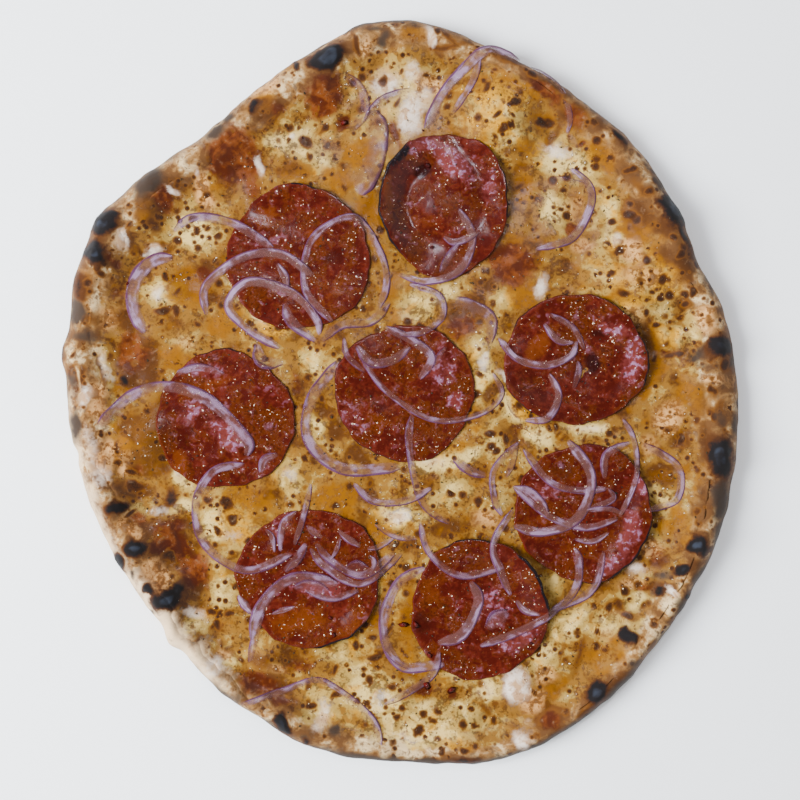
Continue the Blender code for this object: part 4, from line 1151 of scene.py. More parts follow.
class ChorizoFinish(Finish):
    """Cured red sausage: dark, oily lean, grains of fat, pink folds with painted sheen, black burnt rims."""

    lean = (0.036, 0.003, 0.0014)
    light = (0.064, 0.007, 0.0028)
    oily = (0.06, 0.011, 0.0008)
    fat = (0.125, 0.038, 0.01)
    amber = (0.098, 0.02, 0.001)
    pink = (0.12, 0.022, 0.02)
    # A painted lavender highlight for the sheen on folds.
    sheen = (0.275, 0.145, 0.25)
    deep = (0.014, 0.0015, 0.0008)
    burnt = (0.006, 0.0036, 0.0046)
    # A painted highlight: pale specks of it stand in for glints on the oily lean.
    glint = (0.9, 0.68, 0.5)
    relief_depth = 0.2

    def __init__(self) -> None:
        """Put the material together."""
        super().__init__("chorizo_oily")
        broad = self.noise(12.0, 3.0)
        mottle = self.noise(4.4, 3.0, 0.13, 0.7)
        blotch = self.noise(2.2, 2.0, 0.47, 0.4)
        fine = self.noise(1.0, 2.0, 0.29)
        tiny = self.noise(0.45, 2.0, 0.37)
        veil = self.noise(8.0, 2.0, 0.61)
        on = SimpleNamespace(**{layer.value: self.attribute(layer.value) for layer in SLICE_LAYERS})
        oily = (broad + mottle.centred(0.9)).between(0.42, 0.62)
        dark = (blotch * 0.5 + fine * 0.5 - mottle.centred(0.4)).between(0.47, 0.36) * (0.25 + oily * 0.35)
        grains = (fine * 0.6 + tiny * 0.2 + blotch * 0.2).between(0.56, 0.66)
        amber = ragged(on.amber, mottle.centred(1.2) + fine.centred(0.4), 0.5, 0.45)
        pits = ragged(on.deep, mottle.centred(0.8), 0.45, 0.4)
        pink = ragged(on.pink, mottle.centred(1.3) + fine.centred(0.6), 0.5, 0.45)
        # Painted sheen: lavender highlight streaks on the pink folds, and faintly elsewhere.
        sheen_streaks = (blotch * 0.6 + mottle * 0.4).between(0.5, 0.62)
        sheen = sheen_streaks * (pink * 0.55 + veil.between(0.58, 0.7) * 0.16)
        # Painted glow: the lean is lighter towards the rim, standing in for light shining through the thin
        # edge.
        edge = self.attribute("edge") + mottle.centred(0.8)
        burnt = ragged(self.attribute("burnt"), fine.centred(0.5) + mottle.centred(0.8), 0.55, 0.25)
        # Painted glints: pale specks laid into the colour where they crowd, but not on burnt rims.
        crowd = (broad * 0.5 + blotch * 0.7).between(0.54, 0.66)
        painted_glints = (tiny * 0.3 + fine * 0.7 + crowd * 0.05).between(0.69, 0.72)
        colour = self.coats(
            self.lean, ((mottle + blotch.centred(0.6)).between(0.36, 0.64), self.light),
            (oily * 0.85, self.oily), (dark, self.deep), (grains * 0.3, self.fat),
            (amber * 0.75, self.amber), (pits, self.deep), (pink * 0.7, self.pink),
            (sheen, self.sheen), (edge.between(0.4, 1.2) * 0.4, self.light), (burnt, self.burnt),
            (painted_glints * (1.0 - burnt), self.glint))
        bead = (blotch + fine.centred(0.5)).between(0.54, 0.66) * broad.between(0.42, 0.56)
        height = fine * 0.1 + mottle * 0.3 + blotch * 0.15 + bead * 0.7
        roughness = 0.24 + mottle.centred(0.2) - bead * 0.08
        self.shade(colour, roughness.most(0.1), height, self.relief_depth, Specular_IOR_Level=0.25)


class Tone(Enum):
    """How much of a strip of onion shows: the value is how solid its middle looks."""

    BRIGHT = 0.64
    MAUVE = 0.46
    PALE = 0.32
    FAINT = 0.18


BRIGHT, MAUVE, PALE, FAINT = Tone


class OnionFinish(Finish):
    """Moist red onion: purple skin on one edge, a painted pale highlight beside it, flesh that thins out."""

    flesh = (0.145, 0.068, 0.062)
    # light is a painted lavender highlight along the strip.
    light = (0.265, 0.165, 0.25)
    skin = (0.045, 0.0085, 0.032)
    streak_length = 0.07
    streak_breadth = 1.1
    relief_depth = 0.05

    def __init__(self, tone: Tone) -> None:
        """Put the material together; the mesh's own attributes say where a place is on the strip.

        Args:
            tone: How much of the strip shows.
        """
        super().__init__("onion_" + tone.name.lower())
        across, along, strip, end = (self.attribute(name) for name in ("across", "along", "strip", "end"))
        place = self.node("ShaderNodeCombineXYZ", {}, {
            0: along * self.streak_length, 1: across * self.streak_breadth, 2: strip})
        streak = Number(self, self.node("ShaderNodeTexNoise", {}, {
            "Vector": place.outputs[0], "Scale": 1.0, "Detail": 2.0, "Roughness": 0.5}).outputs[0])
        mottle = self.noise(7.0, 2.0, 0.09)
        # Painted highlight: lavender streaks along the strip, which also show more solid.
        painted_highlight = (streak + mottle.centred(1.4) + across * 0.12).between(0.42, 0.76)
        skin = (across + mottle.centred(0.5)).between(0.52, 0.74) * mottle.between(0.22, 0.42)
        colour = self.coats(self.flesh, (painted_highlight, self.light), (skin * 0.9, self.skin))
        inner = across.between(-1.1, -0.6)
        middle = tone.value * (0.55 + painted_highlight * 0.55) * (0.35 + inner * 0.65)
        solid = (middle + skin * (0.3 + tone.value * 0.5)) * end.between(-0.5, 2.0)
        self.shade(colour, 0.28, streak, self.relief_depth, Alpha=solid.least(1.0).most(0.02),
                   Coat_Weight=0.15, Coat_Roughness=0.18, Specular_IOR_Level=0.35)


class FlakeFinish(Finish):
    """Dried herb or chilli: one colour, darker and lighter from flake to flake."""

    relief_depth = 0.1

    def __init__(self, name: str, dark: Colour, light: Colour, roughness: float) -> None:
        """Put the material together."""
        super().__init__(name)
        share = self.noise(2.5).between(0.35, 0.65)
        self.shade(self.mix(share, dark, light), roughness, self.noise(0.4, 2.0, 0.3), self.relief_depth)


# -------- the dough

@dataclass
class Dough:
    """The dough: a thin base and a puffed, blistered rim."""

    pie: PieShape
    painting: Painting
    relief: Field
    angles: int = 900
    hidden_rings: Row = (40.0, 60.0, 72.0, 80.0, 86.0, 92.0, 98.0, 103.0, 108.0, 112.0, 115.0, 118.0)
    hidden_drop: float = 1.0
    hidden_end: float = 126.0
    hidden_slope: float = 6.0
    bottom_rings: Row = (118.0, 80.0, 40.0)
    relief_from: float = 117.0
    relief_slope: float = 4.0
    relief_foot: float = 0.4
    relief_rise: float = 2.0
    crown: float = 16.6
    crown_room: float = 1.2
    foot_darkening: float = 0.45
    foot_height: float = 3.0

    def build(self) -> Piece:
        """Carry the section round the pie; the relief then pushes each point out, square to the section.

        Returns:
            The dough.
        """
        inner = np.array([(reach, self.pie.base) for reach in self.hidden_rings])
        under = np.array([(reach, 0.0) for reach in self.bottom_rings])
        section = np.vstack((inner, self.pie.rim_curve, under))
        tangent = np.gradient(section, axis=0)
        tangent /= np.linalg.norm(tangent, axis=1)[:, None]
        angles = np.arange(self.angles) * FULL_TURN / self.angles
        reach, angle = np.meshgrid(section[:, 0], angles, indexing="ij")
        turned = np.broadcast_to(section[:, 1:2], reach.shape)
        x, y = self.pie.place(reach, angle)
        z = self.pie.lift(turned, reach, angle, x, y)
        hidden = ease((self.hidden_end - reach) / self.hidden_slope) * (turned > self.pie.base / 2.0)
        z -= self.hidden_drop * hidden
        push = (self.relief.read(x, y) * ease((turned - self.relief_foot) / self.relief_rise)
                * ease((reach - self.relief_from) / self.relief_slope))
        outward, upward = -tangent[:, 1:2] * push, tangent[:, 0:1] * push
        points = np.stack((x + outward * np.cos(angle), y + outward * np.sin(angle), z + upward), axis=-1)
        points = points.reshape(-1, 3)
        high = np.maximum(points[:, 2] - self.crown, 0.0)
        points[:, 2] += self.crown_room * (1.0 - np.exp(-high / self.crown_room)) - high
        points = np.vstack((points, (0.0, 0.0, self.pie.base), (0.0, 0.0, 0.0)))
        numbers = self.painting.read(PIE_LAYERS, points)
        # The outer side is painted darker towards the table, in the smoke colour.
        side = np.append(ease(turned.ravel() / self.foot_height), (1.0, 0.0))
        smoke = Layer.SMOKE.value
        numbers[smoke] = np.maximum(numbers[smoke], self.foot_darkening * (1.0 - side))
        return write_mesh("dough", points, capped_faces(len(section), self.angles), numbers)


# -------- the melted layer

@dataclass
class MeltedCheese:
    """Tomato and melted cheese: lumps, puddles and blisters, thinning to a ragged edge on the rim."""

    pie: PieShape
    painting: Painting
    relief: Field
    cells: int = 300
    edge_reach: float = 139.5
    relief_depth: float = 0.8
    hidden_rings: Row = (135.0, 130.0, 125.0, 121.0)
    hidden_drop: float = 0.5
    hidden_floor: float = 2.4

    def height(self, x: Array, y: Array) -> Array:
        """The height of the melted layer's upper side at any places."""
        reach, _ = self.pie.reach_at(x, y)
        depth = self.pie.cheese_depth(x, y, reach)
        return self.pie.dough_top(x, y) + depth + self.relief.read(x, y) * ease(depth / self.relief_depth)

    def build(self) -> Piece:
        """Lay a square grid into the pie: a cell's ring is its larger coordinate, its angle the other.

        Returns:
            The melted layer.
        """
        line = np.linspace(-1.0, 1.0, self.cells + 1)
        across, up = np.meshgrid(line, line, indexing="ij")
        wide = np.abs(across) > np.abs(up)
        share = np.where(wide, across, up)
        safe = np.where(share == 0.0, 1.0, share)
        turn = np.where(wide, math.pi / 4 * up / safe, math.pi / 2 - math.pi / 4 * across / safe)
        angle = np.arctan2(share * np.sin(turn), share * np.cos(turn)) % FULL_TURN
        x, y = self.pie.place(np.abs(share) * self.edge_reach, angle)
        top = np.stack((x, y, self.height(x, y)), axis=-1).reshape(-1, 3)

        side = self.cells + 1
        number = np.arange(side * side).reshape(side, side)
        rim = np.concatenate((number[:-1, 0], number[-1, :-1], number[:0:-1, -1], number[0, :0:-1]))
        below = [self.hidden_ring(reach, angle.ravel()[rim]) for reach in self.hidden_rings]
        points = np.vstack((top, *below, (0.0, 0.0, self.hidden_floor)))

        quads = np.stack((number[:-1, :-1], number[1:, :-1], number[1:, 1:], number[:-1, 1:]), axis=-1)
        rings = [rim] + [len(top) + len(rim) * step + np.arange(len(rim)) for step in range(len(below))]
        skirts = [np.stack((outer, inner, np.roll(inner, -1), np.roll(outer, -1)), axis=-1)
                  for outer, inner in zip(rings, rings[1:])]
        faces = [quads.reshape(-1, 4), *skirts, fan_faces(len(points) - 1, rings[-1], False)]
        numbers = self.painting.read(PIE_LAYERS, points)
        return write_mesh("melted_cheese", points, faces, numbers)

    def hidden_ring(self, reach: float, angle: Array) -> Array:
        """A ring of points inside the dough, by which the layer is closed below.

        Args:
            reach: Its turned radius.
            angle: Its angles.

        Returns:
            The ring's points, one row each.
        """
        x, y = self.pie.place(np.full(len(angle), reach), angle)
        z = np.full(len(angle), self.hidden_floor)
        if reach > self.pie.foot:
            z = self.pie.dough_top(x, y) - self.hidden_drop
        return np.column_stack((x, y, z))


# -------- the chorizo

# Waves of a slice's edge: height as a share of the radius, how many, and how far each slice's are turned on.
WAVES: Rows = ((0.022, 3, 3), (0.014, 5, 5), (0.009, 11, 2), (0.006, 17, 1), (0.004, 29, 4))
WAVE_REACH = 1.06


@dataclass(frozen=True)
class ChorizoSlice:
    """One thin slice: a wavy disc that follows what is under it, with curled edges, folds and burnt rims."""

    number: int
    x: float
    y: float
    half_width: float
    half_height: float
    curls: Rows
    burns: Rows
    folds: Rows
    thickness: float = 1.5
    curl_start: float = 0.55
    sink: float = 0.45
    stiffness: float = 3.2
    warp: float = 0.12
    warp_length: float = 7.0
    grain: float = 0.03
    grain_length: float = 2.4
    grain_from: float = 0.5
    grain_slope: float = 0.6
    burn_core: float = 0.7
    burn_fade: float = 0.6
    burn_level: float = 0.3
    edge_start: float = 0.86
    around: int = 216
    rings: int = 58
    lip_rings: int = 5
    lip_turn: float = 66.0
    under_shares: Row = (0.93, 0.8, 0.5)

    def wave(self, bearing: Array) -> Array:
        """How far the edge is out at a bearing, as a share: 1 and the waves."""
        reach = np.ones_like(bearing)
        for height, count, turn in WAVES:
            reach = reach + height * np.sin(count * bearing + turn * self.number)
        return reach

    def plan(self, share: Array, bearing: Array) -> tuple[Array, Array]:
        """Where a share of the radius at a bearing lies."""
        reach = share * self.wave(bearing)
        across, up = self.half_width * reach * np.cos(bearing), self.half_height * reach * np.sin(bearing)
        return self.x + across, self.y + up

    def polar(self, x: Array, y: Array) -> tuple[Array, Array]:
        """The share of the radius and the bearing of any place: plan() worked backwards."""
        across, up = (x - self.x) / self.half_width, (y - self.y) / self.half_height
        bearing = np.arctan2(up, across)
        return np.hypot(across, up) / self.wave(bearing), bearing

    def stand(self, share: Array, bearing: Array, rest: Field) -> Array:
        """The height of the slice's underside: what it rests on, its curls and its folds.

        Args:
            share: Shares of the radius.
            bearing: Bearings from the middle.
            rest: The height of what it rests on.

        Returns:
            Heights of the underside.
        """
        x, y = self.plan(share, bearing)
        height = rest.read(x, y) - self.sink
        outward = ease((share - self.curl_start) / (1.0 - self.curl_start))
        for curl_bearing, half_width, lift in self.curls:
            height += lift * outward * bell(apart(np.degrees(bearing), curl_bearing) / half_width)
        for fold_x, fold_y, length, breadth, turn, rise in self.folds:
            along, beside = in_oval(x - fold_x, y - fold_y, length, breadth, turn)
            height += rise * bell(along) * bell(beside)
        return height + self.warp * rough_noise(x, y, self.warp_length, Seed.SLICE_WARP + self.number, 2)

    def burnt(self, share: Array, bearing: Array) -> Array:
        """How burnt a place is: bands along the edge, each as (bearing, half width, depth, strength).

        Args:
            share: Shares of the radius.
            bearing: Bearings from the middle.

        Returns:
            0 to 1 at each place.
        """
        inside = (1.0 - share) * 0.5 * (self.half_width + self.half_height)
        total = np.zeros_like(share)
        for burn_bearing, half_width, depth, strength in self.burns:
            beside = np.abs(apart(np.degrees(bearing), burn_bearing)) / half_width
            band = 1.0 - ease((beside - self.burn_core) / self.burn_fade)
            total = np.maximum(total, strength * band * (1.0 - ease(inside / depth - self.burn_level)))
        return total

    def section(self) -> tuple[Array, Array]:
        """Shares of the radius and heights, from the middle over the round edge to the underside.

        Returns:
            The shares and the heights.
        """
        lip = self.thickness / 2.0
        radius = 0.5 * (self.half_width + self.half_height)
        top = np.linspace(0.0, 1.0 - lip / radius, self.rings + 1)[1:]
        turns = np.radians(np.linspace(self.lip_turn, -self.lip_turn, self.lip_rings))
        shares = np.concatenate((top, 1.0 + lip / radius * (np.cos(turns) - 1.0), self.under_shares))
        rises = np.concatenate((np.full(len(top), self.thickness), lip + lip * np.sin(turns),
                                np.zeros(len(self.under_shares))))
        return shares, rises

    def build(self, ground: Field, painting: Painting) -> Piece:
        """Make the slice on the ground, and raise the ground to its top.

        Args:
            ground: The height of what lies uppermost so far.
            painting: The layers that colour the slices.

        Returns:
            The slice.
        """
        rest = ground.blurred(self.stiffness)
        shares, rises = self.section()
        share, bearing = np.meshgrid(shares, np.arange(self.around) * FULL_TURN / self.around, indexing="ij")
        x, y = self.plan(share, bearing)
        z = self.stand(share, bearing, rest) + rises[:, None]
        upper = ease((rises[:, None] - self.grain_from) / self.grain_slope)
        grain = self.grain * rough_noise(x, y, self.grain_length, Seed.SLICE_GRAIN, 2) * upper
        points = np.stack((x, y, z + grain), axis=-1).reshape(-1, 3)
        middle = self.stand(np.zeros(1), np.zeros(1), rest)[0]
        points = np.vstack((points, (self.x, self.y, middle + self.thickness), (self.x, self.y, middle)))
        numbers = painting.read(SLICE_LAYERS, points)
        numbers["burnt"] = np.append(self.burnt(share, bearing).ravel(), (0.0, 0.0))
        # How near the rim a place is; the material paints a lighter glow of light through the edge there.
        edge = ease((share - self.edge_start) / (1.0 - self.edge_start))
        numbers["edge"] = np.append(edge.ravel(), (0.0, 0.0))
        faces = capped_faces(len(shares), self.around)
        piece = write_mesh(f"chorizo_slice_{self.number}", points, faces, numbers)
        self.cover(ground, rest)
        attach(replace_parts(piece, f"chorizo_{self.number}"), BODY)
        return piece

    def cover(self, ground: Field, rest: Field) -> None:
        """Raise the ground to the slice's top.

        Args:
            ground: The height of what lies uppermost.
            rest: What the slice rests on.
        """
        window = Field.window(self.x, self.y, max(self.half_width, self.half_height) * WAVE_REACH)
        x, y = (grid[window] for grid in Field.places())
        share, bearing = self.polar(x, y)
        top = self.stand(np.minimum(share, 1.0), bearing, rest) + self.thickness
        below = ground.values[window]
        ground.values[window] = np.where(share < 1.0, np.maximum(below, top), below)


# Curls: bearing, half width in degrees, lift.  Burns: bearing, half width, depth, strength.
# Folds: x, y, half length, half breadth, turn, rise.
SLICES: tuple[ChorizoSlice, ...] = (
    ChorizoSlice(1, -43.5, 58, 31, 31.2, ((95, 45, 1.5), (200, 35, 1)),
                 ((91, 5, 1.2, 0.8), (80, 4, 1.2, 0.7), (60, 16, 0.6, 0.6)),
                 ((-55, 42, 16, 5, -40, 0.8), (-60, 72, 12, 4, -20, 0.6))),
    ChorizoSlice(2, 19.2, 81, 27.8, 31, ((178, 58, 6), (8, 34, 3)),
                 ((137, 13, 5.5, 0.8), (150, 8, 3, 0.75), (186, 44, 1.3, 0.85), (10, 24, 1.1, 0.8)),
                 ((26, 94, 12, 4.5, -58, 1.3), (10, 104, 8, 4.5, 20, 0.6),
                  (10, 95, 6, 5, 0, -0.8))),
    ChorizoSlice(3, 75.5, 14, 31, 28, ((15, 42, 3.5), (222, 34, 2.5), (92, 30, 1.5)),
                 ((0, 24, 1.3, 0.75), (45, 36, 0.8, 0.62), (135, 20, 0.8, 0.6), (222, 24, 0.9, 0.6)),
                 ((96, 22, 14, 4.5, -52, 1.2), (80, 10, 12, 5, 90, -1),
                  (98, 0, 8, 4, 60, 0.9))),
    ChorizoSlice(4, 2.2, 0, 30.2, 29.5, ((140, 30, 1),),
                 ((170, 60, 0.7, 0.6), (245, 25, 0.8, 0.6)),
                 ((17, 14, 13, 4, 75, 0.9), (-10, -8, 14, 4, -50, 0.6))),
    ChorizoSlice(5, -75, -11.7, 29.7, 29.8, ((215, 40, 1.5),),
                 ((95, 18, 0.9, 0.65), (150, 30, 0.7, 0.55)),
                 ((-83, -14, 15, 7, -38, 1.2), (-70, -24, 7, 4, -60, 1),
                  (-84, 10, 10, 3, -10, 0.7))),
    ChorizoSlice(6, -38.8, -79.8, 31.2, 29.8, ((300, 42, 2.5),),
                 ((297, 25, 1.4, 0.85), (20, 30, 0.6, 0.5)),
                 ((-32, -86, 14, 5, -10, 1), (-50, -64, 10, 4, 50, 0.7))),
    ChorizoSlice(7, 34.2, -93.5, 29.4, 30.5, ((22, 38, 5), (100, 34, 2)),
                 ((26, 28, 1.8, 1), (100, 24, 0.9, 0.7)),
                 ((50, -108, 10, 3.5, 35, 1), (44, -78, 12, 4, -50, 0.9))),
    ChorizoSlice(8, 79.2, -51.7, 29.3, 29.8, ((345, 48, 3.5),),
                 ((322, 34, 1.4, 0.9), (275, 14, 0.9, 0.6), (12, 16, 0.9, 0.8)),
                 ((97, -62, 16, 4, 62, 1.8), (66, -40, 12, 5, 20, 0.6))))

# Pink, raised places on the slices, which also get the painted sheen:
PINK: Rows = (
    (22, 100, 12, 4.5, 0.95, -50), (10, 107, 9, 4, 0.7, 15), (38, 88, 4, 9, 0.55, 10),
    (100, 14, 4.5, 12, 0.7), (92, 28, 9, 3.4, 0.6, -30), (-74, -17, 10, 6, 0.8, -40),
    (-88, -8, 9, 5, 0.5, 30), (-84, 10, 8, 3, 0.45), (52, -106, 11, 4, 0.7, 35), (40, -92, 7, 10, 0.5),
    (98, -62, 4, 14, 0.85, -15), (90, -74, 7, 4, 0.6, 30), (-34, -84, 12, 5, 0.75, -5), (-58, 66, 8, 5, 0.3),
    (-50, 44, 12, 4, 0.4, -35), (18, 10, 7, 10, 0.5), (24, -4, 4, 4, 0.75), (105, -38, 4, 7, 0.9, -20),
    (-20, -12, 4, 9, 0.4, 40), (-52, -56, 4, 7, 0.4, -20), (62, -42, 8, 5, 0.35, 20))

# Amber, fatty places:
AMBER: Rows = (
    (-57, 76, 6, 5, 0.7), (-36, 66, 4, 3.4, 0.7), (60, 20, 4, 12, 0.8, -35), (-5, 84, 2.4, 12, 0.7),
    (-94, -30, 3.4, 6, 0.9, 20), (-84, 2, 14, 3, 0.6, 20), (-20, -100, 12, 6, 0.5, 30), (15, -85, 5, 8, 0.5),
    (62, -60, 8, 6, 0.4), (-6, -12, 8, 6, 0.4), (78, -68, 8, 4, 0.5), (4, 103, 3, 3, 0.9),
    (-30, 44, 6, 8, 0.4), (8, 70, 12, 8, 0.35), (-44, -98, 15, 6, 0.7, 10), (72, -36, 9, 5, 0.5))

# Deep red pits:
DEEP: Rows = (
    (10, 96, 4.4, 3.6), (83, 12, 4, 5, 0.9), (86, 26, 4, 2, 0.7), (-28, 58, 5, 4, 0.5), (8, -100, 8, 5, 0.5),
    (-92, -18, 4, 8, 0.4), (70, -34, 7, 4, 0.4))


# -------- the onion

def beside_line(line: Array, sideways: Array, reach: Array) -> Array:
    """Places beside each point of a line, at one or more distances sideways from it."""
    return line[:, None, :] + sideways[:, None, :] * reach[:, :, None]


@dataclass(frozen=True)
class OnionStrip:
    """A strip of red onion: a flattened, slightly cupped tube that lies along a smooth line."""

    name: str
    width: float
    knots: Rows
    tone: Tone
    node: str | None = None
    thickness: float = 1.2
    thinnest: float = 0.15
    full_share: float = 0.35
    step: float = 0.8
    around: int = 16
    tip: float = 0.48
    taper: float = 6.0
    tip_round: float = 1.2
    tip_least: float = 0.03
    sway: float = 0.13
    sway_length: float = 9.0
    boxiness: tuple[float, float] = (0.7, 0.8)
    cup: float = 0.28
    cup_level: float = 0.4
    feelers: Row = (-0.8, -0.4, 0.0, 0.4, 0.8)
    sag: float = 0.035
    hollow: float = 0.2
    lean: float = 0.7
    sink: float = 0.85
    broaden: float = 1.12
    rounds_a_point: float = 2.5
    least_rounds: int = 60
    lane: float = 7.0
    pattern_shift: float = 1.7
    spots_across: int = 9

    def lie(self, ground: Field, line: Array, sideways: Array, half: Array) -> Array:
        """Let the strip down: each place sinks until it touches, or hangs stiffly from its neighbours.

        Args:
            ground: The height of what lies below.
            line: The middle line.
            sideways: The direction across the strip at each of its points.
            half: Half the strip's width there.

        Returns:
            Heights of the underside at the left edge, the middle and the right edge, one column each.
        """
        places = beside_line(line, sideways, half[:, None] * np.array(self.feelers))
        found = ground.read(places[..., 0], places[..., 1])
        floor = np.column_stack([found[:, part].max(axis=1) for part in (slice(2), slice(1, 4), slice(3, 5))])
        height = np.full_like(floor, floor.max())
        for _ in range(int(len(line) * self.rounds_a_point) + self.least_rounds):
            padded = np.vstack((2 * height[0] - height[1], height, 2 * height[-1] - height[-2]))
            height = np.maximum(floor, 0.5 * (padded[:-2] + padded[2:]) - self.sag)
        middle = np.maximum(height[:, 1], 0.5 * (height[:, 0] + height[:, 2]) - self.hollow)
        edges = np.clip(height[:, (0, 2)], middle[:, None] - self.lean, middle[:, None] + self.lean)
        return np.column_stack((edges[:, 0], middle, edges[:, 1])) - self.sink

    def half_widths(self, travelled: Array, to_end: Array, index: int) -> Array:
        """Half the strip's width along it: it sways, tapers towards its ends and is round at their tips.

        Args:
            travelled: Distances along the line.
            to_end: Distances to the nearer end.
            index: The strip's place in the order of laying.

        Returns:
            Half widths.
        """
        lane = np.full_like(travelled, self.lane * index)
        sway = 1.0 + self.sway * soft_noise(travelled, lane, self.sway_length, Seed.ONION_SWAY)
        share = self.tip + (1.0 - self.tip) * ease(to_end / self.taper)
        half = 0.5 * self.broaden * self.width * sway * share
        to_tip = np.minimum(to_end / self.tip_round, 1.0)
        return half * np.sqrt(np.clip(1.0 - (1.0 - to_tip) ** 2, self.tip_least, 1.0))

    def build(self, ground: Field, index: int) -> Piece:
        """Carry a cupped oval along the line; its height across is the parabola through the three heights.

        Args:
            ground: The height of what lies uppermost, which the strip then raises.
            index: The strip's place in the order of laying.

        Returns:
            The strip.
        """
        line, length = smooth_line(self.knots, self.step)
        heading = np.gradient(line, axis=0)
        heading /= np.linalg.norm(heading, axis=1)[:, None]
        sideways = np.column_stack((-heading[:, 1], heading[:, 0]))
        travelled = np.linspace(0.0, length, len(line))
        to_end = np.minimum(travelled, length - travelled)
        half = self.half_widths(travelled, to_end, index)
        thick = 0.5 * self.thickness * np.clip(half / (self.full_share * self.width), self.thinnest, 1.0)
        sides = self.lie(ground, line, sideways, half)
        phase = np.arange(self.around) * FULL_TURN / self.around
        across, rise = (np.sign(wave) * np.abs(wave) ** power
                        for wave, power in zip((np.cos(phase), np.sin(phase)), self.boxiness))
        left, middle, right = sides[:, 0:1], sides[:, 1:2], sides[:, 2:3]
        base = middle + 0.5 * (right - left) * across + (0.5 * (left + right) - middle) * across**2
        z = base + self.thickness / 2.0 + thick[:, None] * (rise + self.cup * (across**2 - self.cup_level))
        plan = beside_line(line, sideways, half[:, None] * across)
        points = np.concatenate((plan, z[..., None]), axis=-1).reshape(-1, 3)
        points = np.vstack((points, *(np.append(line[end], z[end].mean()) for end in (0, -1))))
        turning = heading[:-1, 0] * heading[1:, 1] - heading[:-1, 1] * heading[1:, 0]
        outer = -1.0 if turning.sum() > 0.0 else 1.0
        numbers = {"across": np.append(np.tile(across * outer, len(line)), (0.0, 0.0)),
                   "along": np.append(np.repeat(travelled, self.around), (0.0, length)),
                   "end": np.append(np.repeat(to_end, self.around), (0.0, 0.0)),
                   "strip": np.full(len(points), self.pattern_shift * index)}
        piece = write_mesh(self.name, points, capped_faces(len(line), self.around, False), numbers)
        tops = base[:, self.around // 4][:, None] + self.thickness
        spots = beside_line(line, sideways, half[:, None] * np.linspace(-1.0, 1.0, self.spots_across))
        ground.raise_to(spots[..., 0], spots[..., 1], np.broadcast_to(tops, spots.shape[:2]))
        if self.node:
            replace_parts(piece, self.node)
        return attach(piece, BODY)


